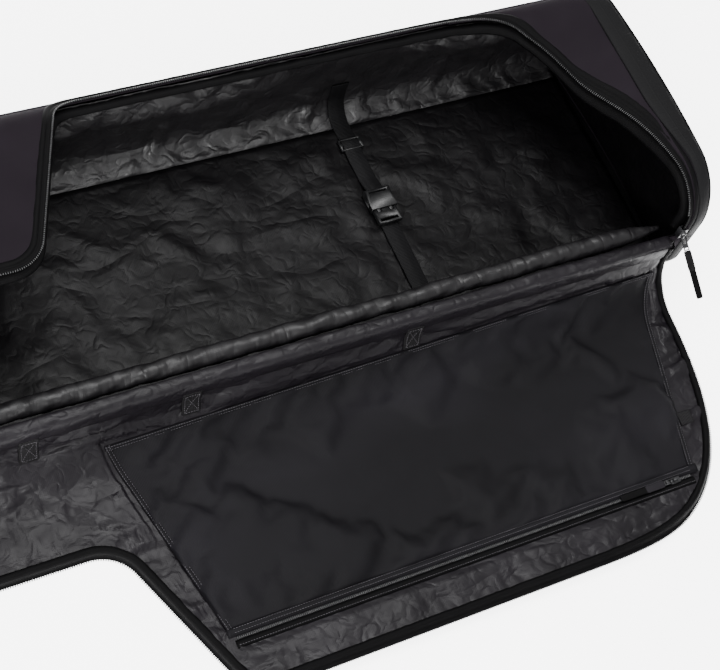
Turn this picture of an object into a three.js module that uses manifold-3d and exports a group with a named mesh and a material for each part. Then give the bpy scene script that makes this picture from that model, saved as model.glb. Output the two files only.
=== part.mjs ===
// Padded snowboard bag, lying on its back with its lid opened flat in front of it.
// Millimetres. +X runs along the bag, -Y is the hinge side, +Z is up.
// The shell is a rounded box section swept along X. A place on it is written (x, s, depth):
// s is the arc length round the section from the hinge edge, up the front, over the top, down
// the back and under the floor, and depth is the distance in from the outside of the fabric.
import * as THREE from 'three';
import { mergeVertices } from 'three/addons/utils/BufferGeometryUtils.js';
import Module from 'manifold-3d';

const wasm = await Module();
wasm.setup();

// ---- Driving dimensions ----
const BAG_LENGTH = 1660;
const BAG_WIDTH = 380;
const BAG_HEIGHT = 190;
const HINGE_HEIGHT = 95;
const TOP_FRONT_RADIUS = 70;
const TOP_BACK_RADIUS = 60;
const FLOOR_RADIUS = 40;
const GAP = 0.3;

// Cloth layers, as [outer depth, inner depth].
const OUTER_LAYER = [0, 1.2];
const FOAM_LAYER = [1.5, 6.5];
const LINING_LAYER = [6.8, 7.6];
const PADDED_LAYER = [0, 6.5];
const PATCH_LAYER = [8.4, 9.8];
const WEBBING_LAYER = [8.6, 10];

// Opening outline: how far the lid reaches round the section.
const WIDE_REACH = 427.5;
const NARROW_REACH = 208;
const LID_END = 800;
const RIGHT_CORNER = { start: 490, power: 3.2 };
const LEFT_CORNER = { start: -735, power: 2.5 };
const STEP = { foot: -32, head: 57.5, footRadius: 50, headRadius: 40 };
const EDGE_SETBACK = 7;
const LOWEST_ROW = 2;

// End bands stand proud of the shell.
const BAND = { side: 800, front: 814, outer: 829, proud: 1.5, turnFrom: 110, turnOver: 130 };
const SHELL_END = 822;
const END_CLEARANCE = 1.2;

// Straps inside, one near each end, and the sewn patches on the lid.
const STRAP_X = 470;
const STRAP_WIDTH = 25;
const BUCKLE = { y: 5, z: 10.6 };
const PATCH_X = { left: -95, middle: 105, right: 405 };
const PATCH = { width: 22, from: 8, to: 52 };

// Mesh pocket inside the lid.
const POCKET = {
  topLeft: 0, topRight: 762, bottomLeft: 62, bottomRight: 690, top: 52.5, zip: 352, layer: [8.4, 9],
};
const POCKET_ZIP = {
  left: 66, right: 686, tape: 11, tapeLayer: [8.4, 9.2], coil: 1.7, coilLayer: [9.5, 11.1],
};
const TAG = { x: 722, width: 20, s: 268, height: 18, layer: [8.6, 10.4] };

// Zip sliders and their pulls.
const MAIN_SLIDER = { x: 805.4, z: 107, halfHeight: 9, droop: 25 };
const POCKET_SLIDER_X = 672;

const HALF_WIDTH = BAG_WIDTH / 2;
const HINGE_Y = -HALF_WIDTH - 1;

const COLOURS = {
  shell: [0x2b282d, 0.85, 0],
  band: [0x1c1b1d, 0.6, 0],
  foam: [0x4a4a4c, 0.95, 0],
  lining: [0x161618, 0.4, 0],
  mesh: [0x14151a, 0.9, 0],
  webbing: [0x101012, 0.8, 0],
  tape: [0x0e0e10, 0.85, 0],
  coil: [0x1a1a1c, 0.35, 0],
  plastic: [0x0c0c0d, 0.4, 0],
  metal: [0x2a2a2c, 0.35, 0.8],
  sleeve: [0x5a5b5f, 0.9, 0],
};

// ---- Section of the shell ----
// Straight stretches have a length, and round ones a radius.
const QUARTER = Math.PI / 2;
const runs = [
  { length: BAG_HEIGHT - TOP_FRONT_RADIUS - HINGE_HEIGHT },
  { radius: TOP_FRONT_RADIUS },
  { length: BAG_WIDTH - TOP_FRONT_RADIUS - TOP_BACK_RADIUS },
  { radius: TOP_BACK_RADIUS },
  { length: BAG_HEIGHT - TOP_BACK_RADIUS - FLOOR_RADIUS },
  { radius: FLOOR_RADIUS },
  { length: BAG_WIDTH - 2 * FLOOR_RADIUS },
  { radius: FLOOR_RADIUS },
  { length: HINGE_HEIGHT - FLOOR_RADIUS },
];
let cursor = [-HALF_WIDTH, HINGE_HEIGHT];
let heading = QUARTER;
let travelled = 0;
for (const run of runs) {
  run.length ??= run.radius * QUARTER;
  run.start = travelled;
  run.from = cursor;
  run.heading = heading;
  if (run.radius) {
    run.centre = [
      cursor[0] + run.radius * Math.sin(heading),
      cursor[1] - run.radius * Math.cos(heading),
    ];
    heading -= QUARTER;
    cursor = [
      run.centre[0] - run.radius * Math.sin(heading),
      run.centre[1] + run.radius * Math.cos(heading),
    ];
  } else {
    cursor = [
      cursor[0] + run.length * Math.cos(heading),
      cursor[1] + run.length * Math.sin(heading),
    ];
  }
  travelled += run.length;
}
const GIRTH = travelled;
const [, , , , , FLOOR_BACK_ARC, FLOOR_RUN, FLOOR_FRONT_ARC] = runs;

function shellPoint(x, s, depth) {
  const around = ((s % GIRTH) + GIRTH) % GIRTH;
  const run = runs.findLast((candidate) => candidate.start <= around + 1e-9);
  const along = around - run.start;
  if (run.radius) {
    const turned = run.heading - along / run.radius;
    const radius = run.radius - depth;
    return new THREE.Vector3(
      x,
      run.centre[0] - radius * Math.sin(turned),
      run.centre[1] + radius * Math.cos(turned),
    );
  }
  const [cos, sin] = [Math.cos(run.heading), Math.sin(run.heading)];
  return new THREE.Vector3(
    x,
    run.from[0] + along * cos + depth * sin,
    run.from[1] + along * sin - depth * cos,
  );
}

// Values of s between two places, with a step at each corner of the section.
const FINEST_STEP = 1;
function stationsBetween(from, to, stepsPerArc = 4) {
  const stations = [from];
  for (let lap = -1; lap <= 1; lap += 1) {
    for (const run of runs) {
      const steps = run.radius ? stepsPerArc : 1;
      for (let i = 0; i < steps; i += 1) {
        const s = lap * GIRTH + run.start + (run.length * i) / steps;
        if (s > from + FINEST_STEP && s < to - FINEST_STEP) stations.push(s);
      }
    }
  }
  stations.push(to);
  return stations;
}

// ---- Solids from grids ----
function solidFrom(positions, indices) {
  let volume = 0;
  const corner = (index) => new THREE.Vector3().fromArray(positions, index * 3);
  for (let i = 0; i < indices.length; i += 3) {
    const [a, b, c] = [corner(indices[i]), corner(indices[i + 1]), corner(indices[i + 2])];
    volume += a.dot(b.cross(c));
  }
  const facing = volume < 0 ? indices.slice().reverse() : indices;
  const geometry = new THREE.BufferGeometry();
  geometry.setAttribute('position', new THREE.Float32BufferAttribute(positions, 3));
  geometry.setIndex(facing);
  return geometry;
}

// A closed sheet: columns[i][j] is a place [x, s], and layer gives its two depths.
function sheet(columns, layer) {
  const [wide, tall] = [columns.length, columns[0].length];
  const [end, top] = [wide - 1, tall - 1];
  const positions = [];
  for (const depth of layer) {
    for (const column of columns) {
      for (const [x, s] of column) positions.push(...shellPoint(x, s, depth).toArray());
    }
  }
  const at = (i, j, side) => (side * wide + i) * tall + j;
  const indices = [];
  const quad = (a, b, c, d) => indices.push(a, b, c, a, c, d);
  for (let i = 0; i + 1 < wide; i += 1) {
    for (let j = 0; j + 1 < tall; j += 1) {
      quad(at(i, j, 0), at(i + 1, j, 0), at(i + 1, j + 1, 0), at(i, j + 1, 0));
      quad(at(i, j, 1), at(i, j + 1, 1), at(i + 1, j + 1, 1), at(i + 1, j, 1));
    }
    quad(at(i, 0, 0), at(i, 0, 1), at(i + 1, 0, 1), at(i + 1, 0, 0));
    quad(at(i, top, 0), at(i + 1, top, 0), at(i + 1, top, 1), at(i, top, 1));
  }
  for (let j = 0; j < top; j += 1) {
    quad(at(0, j, 0), at(0, j + 1, 0), at(0, j + 1, 1), at(0, j, 1));
    quad(at(end, j, 0), at(end, j, 1), at(end, j + 1, 1), at(end, j + 1, 0));
  }
  return solidFrom(positions, indices);
}

// A sheet that runs straight along the bag.
function straightSheet(x0, x1, from, to, layer) {
  const stations = stationsBetween(from, to);
  return sheet([x0, x1].map((x) => stations.map((s) => [x, s])), layer);
}

function box(x0, x1, y0, y1, z0, z1) {
  const geometry = new THREE.BoxGeometry(x1 - x0, y1 - y0, z1 - z0);
  return geometry.translate((x0 + x1) / 2, (y0 + y1) / 2, (z0 + z1) / 2);
}

// The geometry with its shared corners merged.
const MERGE_DISTANCE = 1e-4;
function merge(geometry) {
  const bare = geometry.clone();
  bare.deleteAttribute('normal');
  bare.deleteAttribute('uv');
  return mergeVertices(bare, MERGE_DISTANCE);
}

// The geometry with its faces pointing out, after a mirror turned them in.
function facingOut(geometry) {
  const merged = merge(geometry);
  return solidFrom(Array.from(merged.attributes.position.array), Array.from(merged.index.array));
}

function toManifold(geometry) {
  const merged = merge(geometry);
  const mesh = new wasm.Mesh({
    numProp: 3,
    vertProperties: new Float32Array(merged.attributes.position.array),
    triVerts: new Uint32Array(merged.index.array),
  });
  return new wasm.Manifold(mesh);
}

function combine(first, joins, cuts = []) {
  let solid = toManifold(first);
  for (const piece of joins) solid = solid.add(toManifold(piece));
  for (const piece of cuts) solid = solid.subtract(toManifold(piece));
  const mesh = solid.getMesh();
  const geometry = new THREE.BufferGeometry();
  geometry.setAttribute('position', new THREE.BufferAttribute(mesh.vertProperties, 3));
  geometry.setIndex(new THREE.BufferAttribute(mesh.triVerts, 1));
  return geometry;
}

function named(name, geometry, look) {
  const [color, roughness, metalness] = COLOURS[look];
  const material = new THREE.MeshStandardMaterial({ color, roughness, metalness });
  const mesh = new THREE.Mesh(geometry, material);
  mesh.name = name;
  return mesh;
}

// ---- Opening outline, as places [x, s] from the left end to the right end ----
// A rounded end of the opening: a superellipse, with a place at each corner row of the section.
const CLOSEST_PLACES = 5;
function roundedEnd({ start, power }, end, reach, steps) {
  const heights = stationsBetween(0, reach);
  for (let i = 1; i < steps; i += 1) {
    heights.push(reach * Math.sin((QUARTER * i) / steps) ** (2 / power));
  }
  heights.sort((a, b) => a - b);
  const last = heights.length - 1;
  const spaced = heights.filter(
    (s, i) => i === last || i === 0 || s - heights[i - 1] > CLOSEST_PLACES);
  return spaced.map((s) => [start + (end - start) * (1 - (s / reach) ** power) ** (1 / power), s]);
}

function fillet(x, s, radius, slope, turn, steps) {
  const centreX = x - turn * radius * Math.tan(slope / 2);
  const centreS = s + turn * radius;
  const places = [];
  for (let i = 0; i <= steps; i += 1) {
    const angle = turn > 0 ? (slope * i) / steps : slope * (1 - i / steps);
    places.push([
      centreX + turn * radius * Math.sin(angle),
      centreS - turn * radius * Math.cos(angle),
    ]);
  }
  return places;
}

// Adds a place wherever a long stretch crosses a corner row of the section.
function splitAtRows(places) {
  return places.flatMap(([x, s], i) => {
    if (i === 0) return [[x, s]];
    const [x0, s0] = places[i - 1];
    const [low, high] = [Math.min(s0, s) + CLOSEST_PLACES, Math.max(s0, s) - CLOSEST_PLACES];
    const crossed = stationsBetween(low, high).slice(1, -1);
    if (s < s0) crossed.reverse();
    return [...crossed.map((row) => [x0 + ((x - x0) * (row - s0)) / (s - s0), row]), [x, s]];
  });
}

const stepSlope = Math.atan2(WIDE_REACH - NARROW_REACH, STEP.head - STEP.foot);
const OUTLINE = splitAtRows([
  ...roundedEnd(LEFT_CORNER, -LID_END, NARROW_REACH, 5),
  ...fillet(STEP.foot, NARROW_REACH, STEP.footRadius, stepSlope, 1, 4),
  ...fillet(STEP.head, WIDE_REACH, STEP.headRadius, stepSlope, -1, 4),
  ...roundedEnd(RIGHT_CORNER, LID_END, WIDE_REACH, 9).reverse(),
]);

// The outline moved sideways: positive goes out on to the fixed panels, negative on to the lid.
function offsetOutline(distance) {
  return OUTLINE.map(([x, s], i) => {
    const [x0, s0] = OUTLINE[Math.max(i - 1, 0)];
    const [x1, s1] = OUTLINE[Math.min(i + 1, OUTLINE.length - 1)];
    const length = Math.hypot(x1 - x0, s1 - s0);
    const atEnd = i === 0 || i === OUTLINE.length - 1;
    const normal = atEnd ? [Math.sign(x), 0] : [-(s1 - s0) / length, (x1 - x0) / length];
    return [x + distance * normal[0], s + distance * normal[1]];
  });
}

// A strip beside the outline, between two offsets. It starts where the outline is at a height of
// startAt round the section, and never comes closer to the hinge edge than lowest.
function outlineStrip(near, far, layer, { startAt = 0, lowest = LOWEST_ROW } = {}) {
  const raise = ([x, s]) => [x, Math.max(s, lowest)];
  const [inner, outer] = [offsetOutline(near), offsetOutline(far)];
  const stations = OUTLINE.map((place, i) => [raise(inner[i]), raise(outer[i])]);
  return sheet(stations.filter((pair, i) => OUTLINE[i][1] >= startAt), layer);
}

// Rows of the lid: the corner rows of the section up to the outline, closed up near its ends.
const FINEST_ROW = 3;
const LID_ROWS = [...stationsBetween(LOWEST_ROW, WIDE_REACH).slice(0, -1), Infinity];
function lidColumn([x, reach]) {
  const last = LID_ROWS.length - 1;
  const step = Math.min(FINEST_ROW, (reach - LID_ROWS[0]) / last);
  return LID_ROWS.map((s, j) => [x, Math.min(s, reach - (last - j) * step)]);
}

function lidSheet(layer, setback) {
  const edge = offsetOutline(-setback).slice(1, -1);
  return sheet(edge.map(lidColumn), layer);
}

// Rows of a fixed top panel, from the opening's edge to the top edge of the back wall.
const BACK_EDGE = WIDE_REACH + EDGE_SETBACK;
const TOP_ROWS = [-Infinity, ...stationsBetween(LOWEST_ROW, BACK_EDGE - GAP).slice(1)];
function topColumn([x, reach]) {
  const step = Math.min(FINEST_ROW, (TOP_ROWS.at(-1) - reach) / (TOP_ROWS.length - 1));
  return TOP_ROWS.map((s, j) => [x, Math.max(s, reach + j * step)]);
}

// The two top panels stop where the opening comes this near to the back wall.
const NARROWEST_TOP = 9;
const MIDDLE_OF_WIDE_EDGE = (STEP.head + RIGHT_CORNER.start) / 2;
function topPanel(side, layer) {
  const places = offsetOutline(EDGE_SETBACK)
    .map(([x, s]) => [x, Math.max(s, LOWEST_ROW)])
    .filter(([x, s]) => BACK_EDGE - s > NARROWEST_TOP && Math.sign(x - MIDDLE_OF_WIDE_EDGE) === side);
  const end = [side * SHELL_END, LOWEST_ROW];
  return sheet((side > 0 ? [...places, end] : [end, ...places]).map(topColumn), layer);
}

// ---- Ends ----
function endPlate(x0, x1, depth) {
  const places = stationsBetween(0, GIRTH).slice(0, -1).map((s) => shellPoint(0, s, depth));
  const outline = new THREE.Shape(places.map(({ y, z }) => new THREE.Vector2(y, z)));
  const plate = new THREE.ExtrudeGeometry(outline, { depth: x1 - x0, bevelEnabled: false });
  plate.rotateX(QUARTER).rotateZ(QUARTER).translate(x0, 0, 0);
  return plate;
}

// The band's seam comes nearer the end of the bag towards the hinge edge.
function bandSeam(s) {
  const fromHinge = Math.min(s, GIRTH - s);
  const turned = THREE.MathUtils.smoothstep(fromHinge, BAND.turnFrom, BAND.turnFrom + BAND.turnOver);
  return THREE.MathUtils.lerp(BAND.front, BAND.side, turned);
}

function endBand(side) {
  const stations = stationsBetween(0, GIRTH, 8).slice(0, -1);
  const positions = [];
  for (const s of stations) {
    const corners = [
      [bandSeam(s), -BAND.proud],
      [BAND.outer, -BAND.proud],
      [BAND.outer, -GAP],
      [bandSeam(s), -GAP],
    ];
    for (const [x, depth] of corners) positions.push(...shellPoint(side * x, s, depth).toArray());
  }
  const indices = [];
  const around = stations.length;
  for (let i = 0; i < around; i += 1) {
    const next = (i + 1) % around;
    for (let k = 0; k < 4; k += 1) {
      const [a, b] = [i * 4 + k, i * 4 + ((k + 1) % 4)];
      const [c, d] = [next * 4 + ((k + 1) % 4), next * 4 + k];
      indices.push(a, b, c, a, c, d);
    }
  }
  return solidFrom(positions, indices);
}

// A webbing grab loop: two sewn feet and a bridge that stands off the end panel.
const END_PANEL = [SHELL_END + GAP, SHELL_END + GAP + PADDED_LAYER[1]];
const END_LINING = [SHELL_END - GAP - 0.8, SHELL_END - GAP];
const GRAB = { halfSpan: 75, footLength: 28, width: 30, thick: 2.4, rise: 18.2, lead: 30 };
function endHandle() {
  const { halfSpan, footLength, width, thick, rise, lead } = GRAB;
  const face = END_PANEL[1] + GAP;
  const [near, far] = [-footLength / 2, footLength / 2];
  const foot = (side) => box(
    face, face + thick, side * halfSpan + near, side * halfSpan + far, -width / 2, width / 2);
  const inset = 8;
  const bow = new THREE.Shape();
  bow.moveTo(-halfSpan, 0);
  bow.bezierCurveTo(lead - halfSpan, rise, halfSpan - lead, rise, halfSpan, 0);
  bow.lineTo(halfSpan - inset, 0);
  bow.bezierCurveTo(
    halfSpan - lead - 6, rise - 3, 6 + lead - halfSpan, rise - 3, inset - halfSpan, 0);
  bow.closePath();
  const bridge = new THREE.ExtrudeGeometry(bow, { depth: width, bevelEnabled: false, curveSegments: 10 });
  bridge.rotateZ(-QUARTER).scale(1, -1, 1).translate(face + thick / 2, 0, -width / 2);
  return combine(foot(-1), [foot(1), facingOut(bridge)]).translate(0, 0, BAG_HEIGHT / 2);
}

// ---- Bag body ----
const bag = new THREE.Group();
const body = new THREE.Group();
bag.add(body);

const layered = (name, make) => {
  body.add(named(`${name}_outer`, make(OUTER_LAYER), 'shell'));
  body.add(named(`${name}_foam`, make(FOAM_LAYER), 'foam'));
  body.add(named(`${name}_lining`, make(LINING_LAYER), 'lining'));
};
const FRONT_WALL = [FLOOR_FRONT_ARC.start - GIRTH + GAP, GAP - LOWEST_ROW];
const BACK_WALL = [BACK_EDGE, FLOOR_RUN.start - GAP];
const FLOOR = [FLOOR_RUN.start, FLOOR_FRONT_ARC.start];
layered('front_wall', (layer) => straightSheet(-SHELL_END, SHELL_END, ...FRONT_WALL, layer));
layered('back_wall', (layer) => straightSheet(-SHELL_END, SHELL_END, ...BACK_WALL, layer));
// Under the bag the end bands replace the outer fabric, so it stops at their seams.
layered('floor', (layer) => {
  const end = layer === OUTER_LAYER ? BAND.side - GAP : SHELL_END;
  return straightSheet(-end, end, ...FLOOR, layer);
});

const onSide = (side, [inner, outer]) => (side > 0 ? [inner, outer] : [-outer, -inner]);
for (const [name, side] of [['right', 1], ['left', -1]]) {
  const panelAt = onSide(side, END_PANEL);
  const liningAt = onSide(side, END_LINING);
  body.add(named(`${name}_top_panel`, topPanel(side, PADDED_LAYER), 'shell'));
  body.add(named(`${name}_top_lining`, topPanel(side, LINING_LAYER), 'lining'));
  body.add(named(`${name}_end_panel`, endPlate(...panelAt, 0), 'shell'));
  body.add(named(`${name}_end_lining`, endPlate(...liningAt, LINING_LAYER[1] + END_CLEARANCE), 'lining'));
  body.add(named(`${name}_end_band`, endBand(side), 'band'));
}
body.add(named('end_grab_handle', endHandle(), 'webbing'));

// Padded roll along the inside of the front wall's top edge.
const ROLL = { radius: 13.5, end: LID_END - 10, below: 3, sides: 14 };
function frontRoll() {
  const roll = new THREE.CylinderGeometry(ROLL.radius, ROLL.radius, 2 * ROLL.end, ROLL.sides);
  const inside = -HALF_WIDTH + LINING_LAYER[1] + 2 * GAP;
  return roll.rotateZ(QUARTER).translate(
    0, inside + ROLL.radius, HINGE_HEIGHT - ROLL.radius - ROLL.below);
}
body.add(named('front_edge_roll', frontRoll(), 'lining'));

const HINGE_TAPE = { width: 7.4, thick: 0.8, below: 0.6 };
const tapeTop = HINGE_HEIGHT - HINGE_TAPE.below;
body.add(named('hinge_tape', box(
  -LID_END, LID_END - 8, 0.1 - HALF_WIDTH, 0.1 - HALF_WIDTH + HINGE_TAPE.width,
  tapeTop - HINGE_TAPE.thick, tapeTop), 'tape'));

// Main zip: one half on the body, with a draft flap behind it.
const TAPE_LAYER = [0.2, 1.2];
const COIL_LAYER = [-0.4, 1.4];
const TAPE_REACH = [2.2, EDGE_SETBACK - GAP];
const COIL_REACH = [GAP, 1.9];
const COIL_START = 50;
const FLAP = { reach: 14, layer: [11, 12], lowest: 6 };
const BINDING = { reach: 20, layer: [9.2, 10.3], lowest: 6 };
body.add(named('body_zip_tape', outlineStrip(...TAPE_REACH, TAPE_LAYER), 'tape'));
body.add(named('body_zip_coil', outlineStrip(...COIL_REACH, COIL_LAYER, { startAt: COIL_START }), 'coil'));
body.add(named('zip_draft_flap', outlineStrip(-FLAP.reach, FLAP.reach, FLAP.layer, FLAP), 'tape'));

// ---- Lid, hinged along the top of the front wall ----
const lid = new THREE.Group();
lid.position.set(0, HINGE_Y, HINGE_HEIGHT);
lid.rotation.x = Math.PI;
bag.add(lid);
const onLid = (name, geometry, look) => {
  geometry.translate(0, -HINGE_Y, -HINGE_HEIGHT);
  lid.add(named(name, geometry, look));
};
onLid('lid_outer', lidSheet(OUTER_LAYER, EDGE_SETBACK), 'shell');
onLid('lid_foam', lidSheet(FOAM_LAYER, EDGE_SETBACK), 'foam');
onLid('lid_lining', lidSheet(LINING_LAYER, EDGE_SETBACK), 'lining');
onLid('lid_zip_tape', outlineStrip(-TAPE_REACH[1], -TAPE_REACH[0], TAPE_LAYER), 'tape');
onLid('lid_zip_coil', outlineStrip(-COIL_REACH[1], -COIL_REACH[0], COIL_LAYER), 'coil');
onLid('lid_edge_binding', outlineStrip(-BINDING.reach, -EDGE_SETBACK, BINDING.layer, BINDING), 'tape');

for (const [name, x] of Object.entries(PATCH_X)) {
  const [from, to] = [x - PATCH.width / 2, x + PATCH.width / 2];
  const patch = straightSheet(from, to, PATCH.from, PATCH.to, PATCH_LAYER);
  onLid(`lid_patch_${name}`, patch, 'webbing');
}

// Side carry handle: webbing between the left and middle patches, flat against the outside.
const CARRY = { from: 44, to: 82, layer: [-3.3, -0.6] };
const handleFrom = PATCH_X.left - PATCH.width / 2;
const handleTo = PATCH_X.middle + PATCH.width / 2;
onLid('carry_handle', straightSheet(handleFrom, handleTo, CARRY.from, CARRY.to, CARRY.layer), 'webbing');

// Mesh pocket with a straight zip along its outer edge.
function pocketColumn(share) {
  const top = THREE.MathUtils.lerp(POCKET.topLeft, POCKET.topRight, share);
  const bottom = THREE.MathUtils.lerp(POCKET.bottomLeft, POCKET.bottomRight, share);
  const end = POCKET.zip - POCKET_ZIP.tape - GAP;
  return stationsBetween(POCKET.top, end).map((s) => {
    const down = (s - POCKET.top) / (end - POCKET.top);
    return [THREE.MathUtils.lerp(top, bottom, down), s];
  });
}
onLid('pocket_mesh', sheet([0, 1].map(pocketColumn), POCKET.layer), 'mesh');
const zipSheet = (half, layer) => straightSheet(
  POCKET_ZIP.left, POCKET_ZIP.right, POCKET.zip - half, POCKET.zip + half, layer);
onLid('pocket_zip_tape', zipSheet(POCKET_ZIP.tape, POCKET_ZIP.tapeLayer), 'tape');
onLid('pocket_zip_coil', zipSheet(POCKET_ZIP.coil, POCKET_ZIP.coilLayer), 'coil');
onLid('pocket_tag', straightSheet(
  TAG.x, TAG.x + TAG.width, TAG.s, TAG.s + TAG.height, TAG.layer), 'webbing');

// ---- Zip sliders, each with a tab and a cloth pull ----
// Built round the origin: travel along X, +Z away from the cloth. The tab's pivot is over the middle.
const PLATE = 1.6;
const BRIDGE = { rise: 3, thick: 1.2, width: 3, post: 2, inset: 3 };
function sliderBody(length, width, rise) {
  const [end, side] = [length / 2, width / 2];
  const top = rise + PLATE;
  const bridgeAt = top + BRIDGE.rise - 0.2;
  const foot = end - BRIDGE.inset;
  const plate = box(-end, end, -side, side, rise, top);
  const cheeks = [-side, side - 1.2].map((y) => box(-end, end, y, y + 1.2, GAP, rise + 0.2));
  const posts = [-foot, foot - BRIDGE.post].map((x) => box(
    x, x + BRIDGE.post, -BRIDGE.width / 2, BRIDGE.width / 2, top - 0.2, bridgeAt + 0.2));
  const bar = box(-foot, foot, -BRIDGE.width / 2, BRIDGE.width / 2, bridgeAt, bridgeAt + BRIDGE.thick);
  return combine(plate, [...cheeks, ...posts, bar]);
}

// A flat metal tab: an eye that loops round the slider's bridge, and a slot for the cloth pull.
const TAB = { thick: 1.4, eyeEnd: 0.9, eyeFrom: 0.2, eyeTo: 11, slotFrom: 3.2, slotTo: 1.4, rim: 1.2 };
function pullTab(length, width) {
  const opening = width / 2 - TAB.rim;
  const frame = box(-TAB.eyeEnd, length, -width / 2, width / 2, -TAB.thick / 2, TAB.thick / 2);
  const eye = box(TAB.eyeFrom, TAB.eyeTo, -opening, opening, -TAB.thick, TAB.thick);
  const slot = box(
    length - TAB.slotFrom, length - TAB.slotTo, -opening, opening, -TAB.thick, TAB.thick);
  return combine(frame, [], [eye, slot]);
}

function pullStrap(start, length, width, thick) {
  const nose = 4;
  const end = start + length;
  const outline = new THREE.Shape();
  outline.moveTo(start, -width / 2);
  outline.lineTo(end - nose, -width / 2);
  outline.quadraticCurveTo(end, -width / 2, end, 0);
  outline.quadraticCurveTo(end, width / 2, end - nose, width / 2);
  outline.lineTo(start, width / 2);
  outline.closePath();
  const strap = new THREE.ExtrudeGeometry(
    outline, { depth: thick, bevelEnabled: false, curveSegments: 4 });
  return strap.translate(0, 0, -thick / 2);
}

// Main slider: parked on the body half of the zip, just above the hinge edge. It rides up the
// right end of the opening, so it has a plate outside, one inside, and a neck between them.
function mainSlider() {
  const { x, z, halfHeight } = MAIN_SLIDER;
  const outside = -HALF_WIDTH;
  const left = LID_END + GAP;
  const slab = (x0, x1, y0, y1, half) => box(x0, x1, outside + y0, outside + y1, z - half, z + half);
  const post = (at) => box(x - 1.2, x + 1.4, outside - 5.4, outside - 2.2, at - 1, at + 1);
  const plate = slab(left, 811, -2.4, -0.6, halfHeight);
  const inner = slab(left, 806.4, 4.9, 6.3, halfHeight);
  const neck = slab(left, left + 1.5, -1, 5.5, halfHeight);
  const bar = slab(x - 1.2, x + 1.4, -6.4, -5.2, 6);
  return combine(plate, [inner, neck, post(z - 5), post(z + 5), bar]);
}
body.add(named('main_slider', mainSlider(), 'metal'));
const mainPull = new THREE.Group();
mainPull.position.set(MAIN_SLIDER.x, -HALF_WIDTH - 4.1, MAIN_SLIDER.z - 2);
mainPull.rotation.x = THREE.MathUtils.degToRad(MAIN_SLIDER.droop);
bag.add(mainPull);
const towardsHinge = (geometry) => geometry.rotateZ(-QUARTER);
mainPull.add(named('main_slider_tab', towardsHinge(pullTab(20, 8)), 'metal'));
mainPull.add(named('main_pull_strap', towardsHinge(pullStrap(20.4, 66, 9, 3)), 'sleeve'));

// Pocket slider: at the right end of the pocket zip, its pull lying back along the zip.
const POCKET_SLIDER_RISE = 2.4;
const pocketSlider = new THREE.Group();
const zipSurface = shellPoint(POCKET_SLIDER_X, POCKET.zip, POCKET_ZIP.tapeLayer[1]);
pocketSlider.position.set(POCKET_SLIDER_X, zipSurface.y - HINGE_Y, zipSurface.z - HINGE_HEIGHT);
pocketSlider.rotation.x = Math.PI;
lid.add(pocketSlider);
pocketSlider.add(named('pocket_slider', sliderBody(14, 8, POCKET_SLIDER_RISE), 'metal'));
const pocketPull = new THREE.Group();
pocketPull.position.z = POCKET_SLIDER_RISE + BRIDGE.rise;
pocketPull.rotation.z = Math.PI;
pocketSlider.add(pocketPull);
pocketPull.add(named('pocket_slider_tab', pullTab(18, 6.6), 'metal'));
pocketPull.add(named('pocket_pull_strap', pullStrap(18.4, 60, 8, 2.4), 'sleeve'));

// ---- Hold-down straps inside the body ----
// Built with the mating face of the buckle at y = 0 and the plug on the -Y side.
function buckleSocket() {
  const [half, length, thick] = [19, 31, 11];
  const shell = box(-half, half, 0.4, length, 0, thick);
  const cavity = box(-16.5, 16.5, -1, 22, 2, 9);
  const sideWindow = (x) => box(x, x + 5, 9, 20, 1.2, 9.8);
  const slot = box(-13, 13, 24.5, 27.5, -1, thick + 1);
  return combine(shell, [], [cavity, sideWindow(-20), sideWindow(15), slot]);
}

function bucklePlug() {
  const base = box(-17, 17, -22, 0, 2.4, 8.6);
  const tongue = box(-2.5, 2.5, -1, 18, 3.5, 7.5);
  const slot = box(-13, 13, -18.5, -14.5, 0, 12);
  const prongRoot = (x) => box(x, x + 7.2, -4.6, 1, 0, 12);
  return combine(base, [tongue], [slot, prongRoot(-12.6), prongRoot(5.4)]);
}

// A springy prong, whose pad fills the socket's side window.
function buckleProng(side) {
  const outline = new THREE.Shape();
  outline.moveTo(6.2, -4);
  outline.lineTo(11.4, -4);
  outline.lineTo(11.6, 8);
  outline.quadraticCurveTo(16.1, 9, 16.1, 13);
  outline.lineTo(15.4, 18.6);
  outline.lineTo(12, 20.6);
  outline.lineTo(10.2, 18);
  outline.lineTo(7.4, 6);
  outline.closePath();
  const prong = new THREE.ExtrudeGeometry(
    outline, { depth: 5, bevelEnabled: false, curveSegments: 4 });
  prong.translate(0, 0, 3);
  return side > 0 ? prong : facingOut(prong.scale(-1, 1, 1));
}

function adjuster() {
  const frame = box(-17, 17, -9, 9, 0, 2.6);
  const slots = [-5, 5].map((y) => box(-13.4, 13.4, y - 2, y + 2, -1, 4));
  return combine(frame, [], slots);
}

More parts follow.
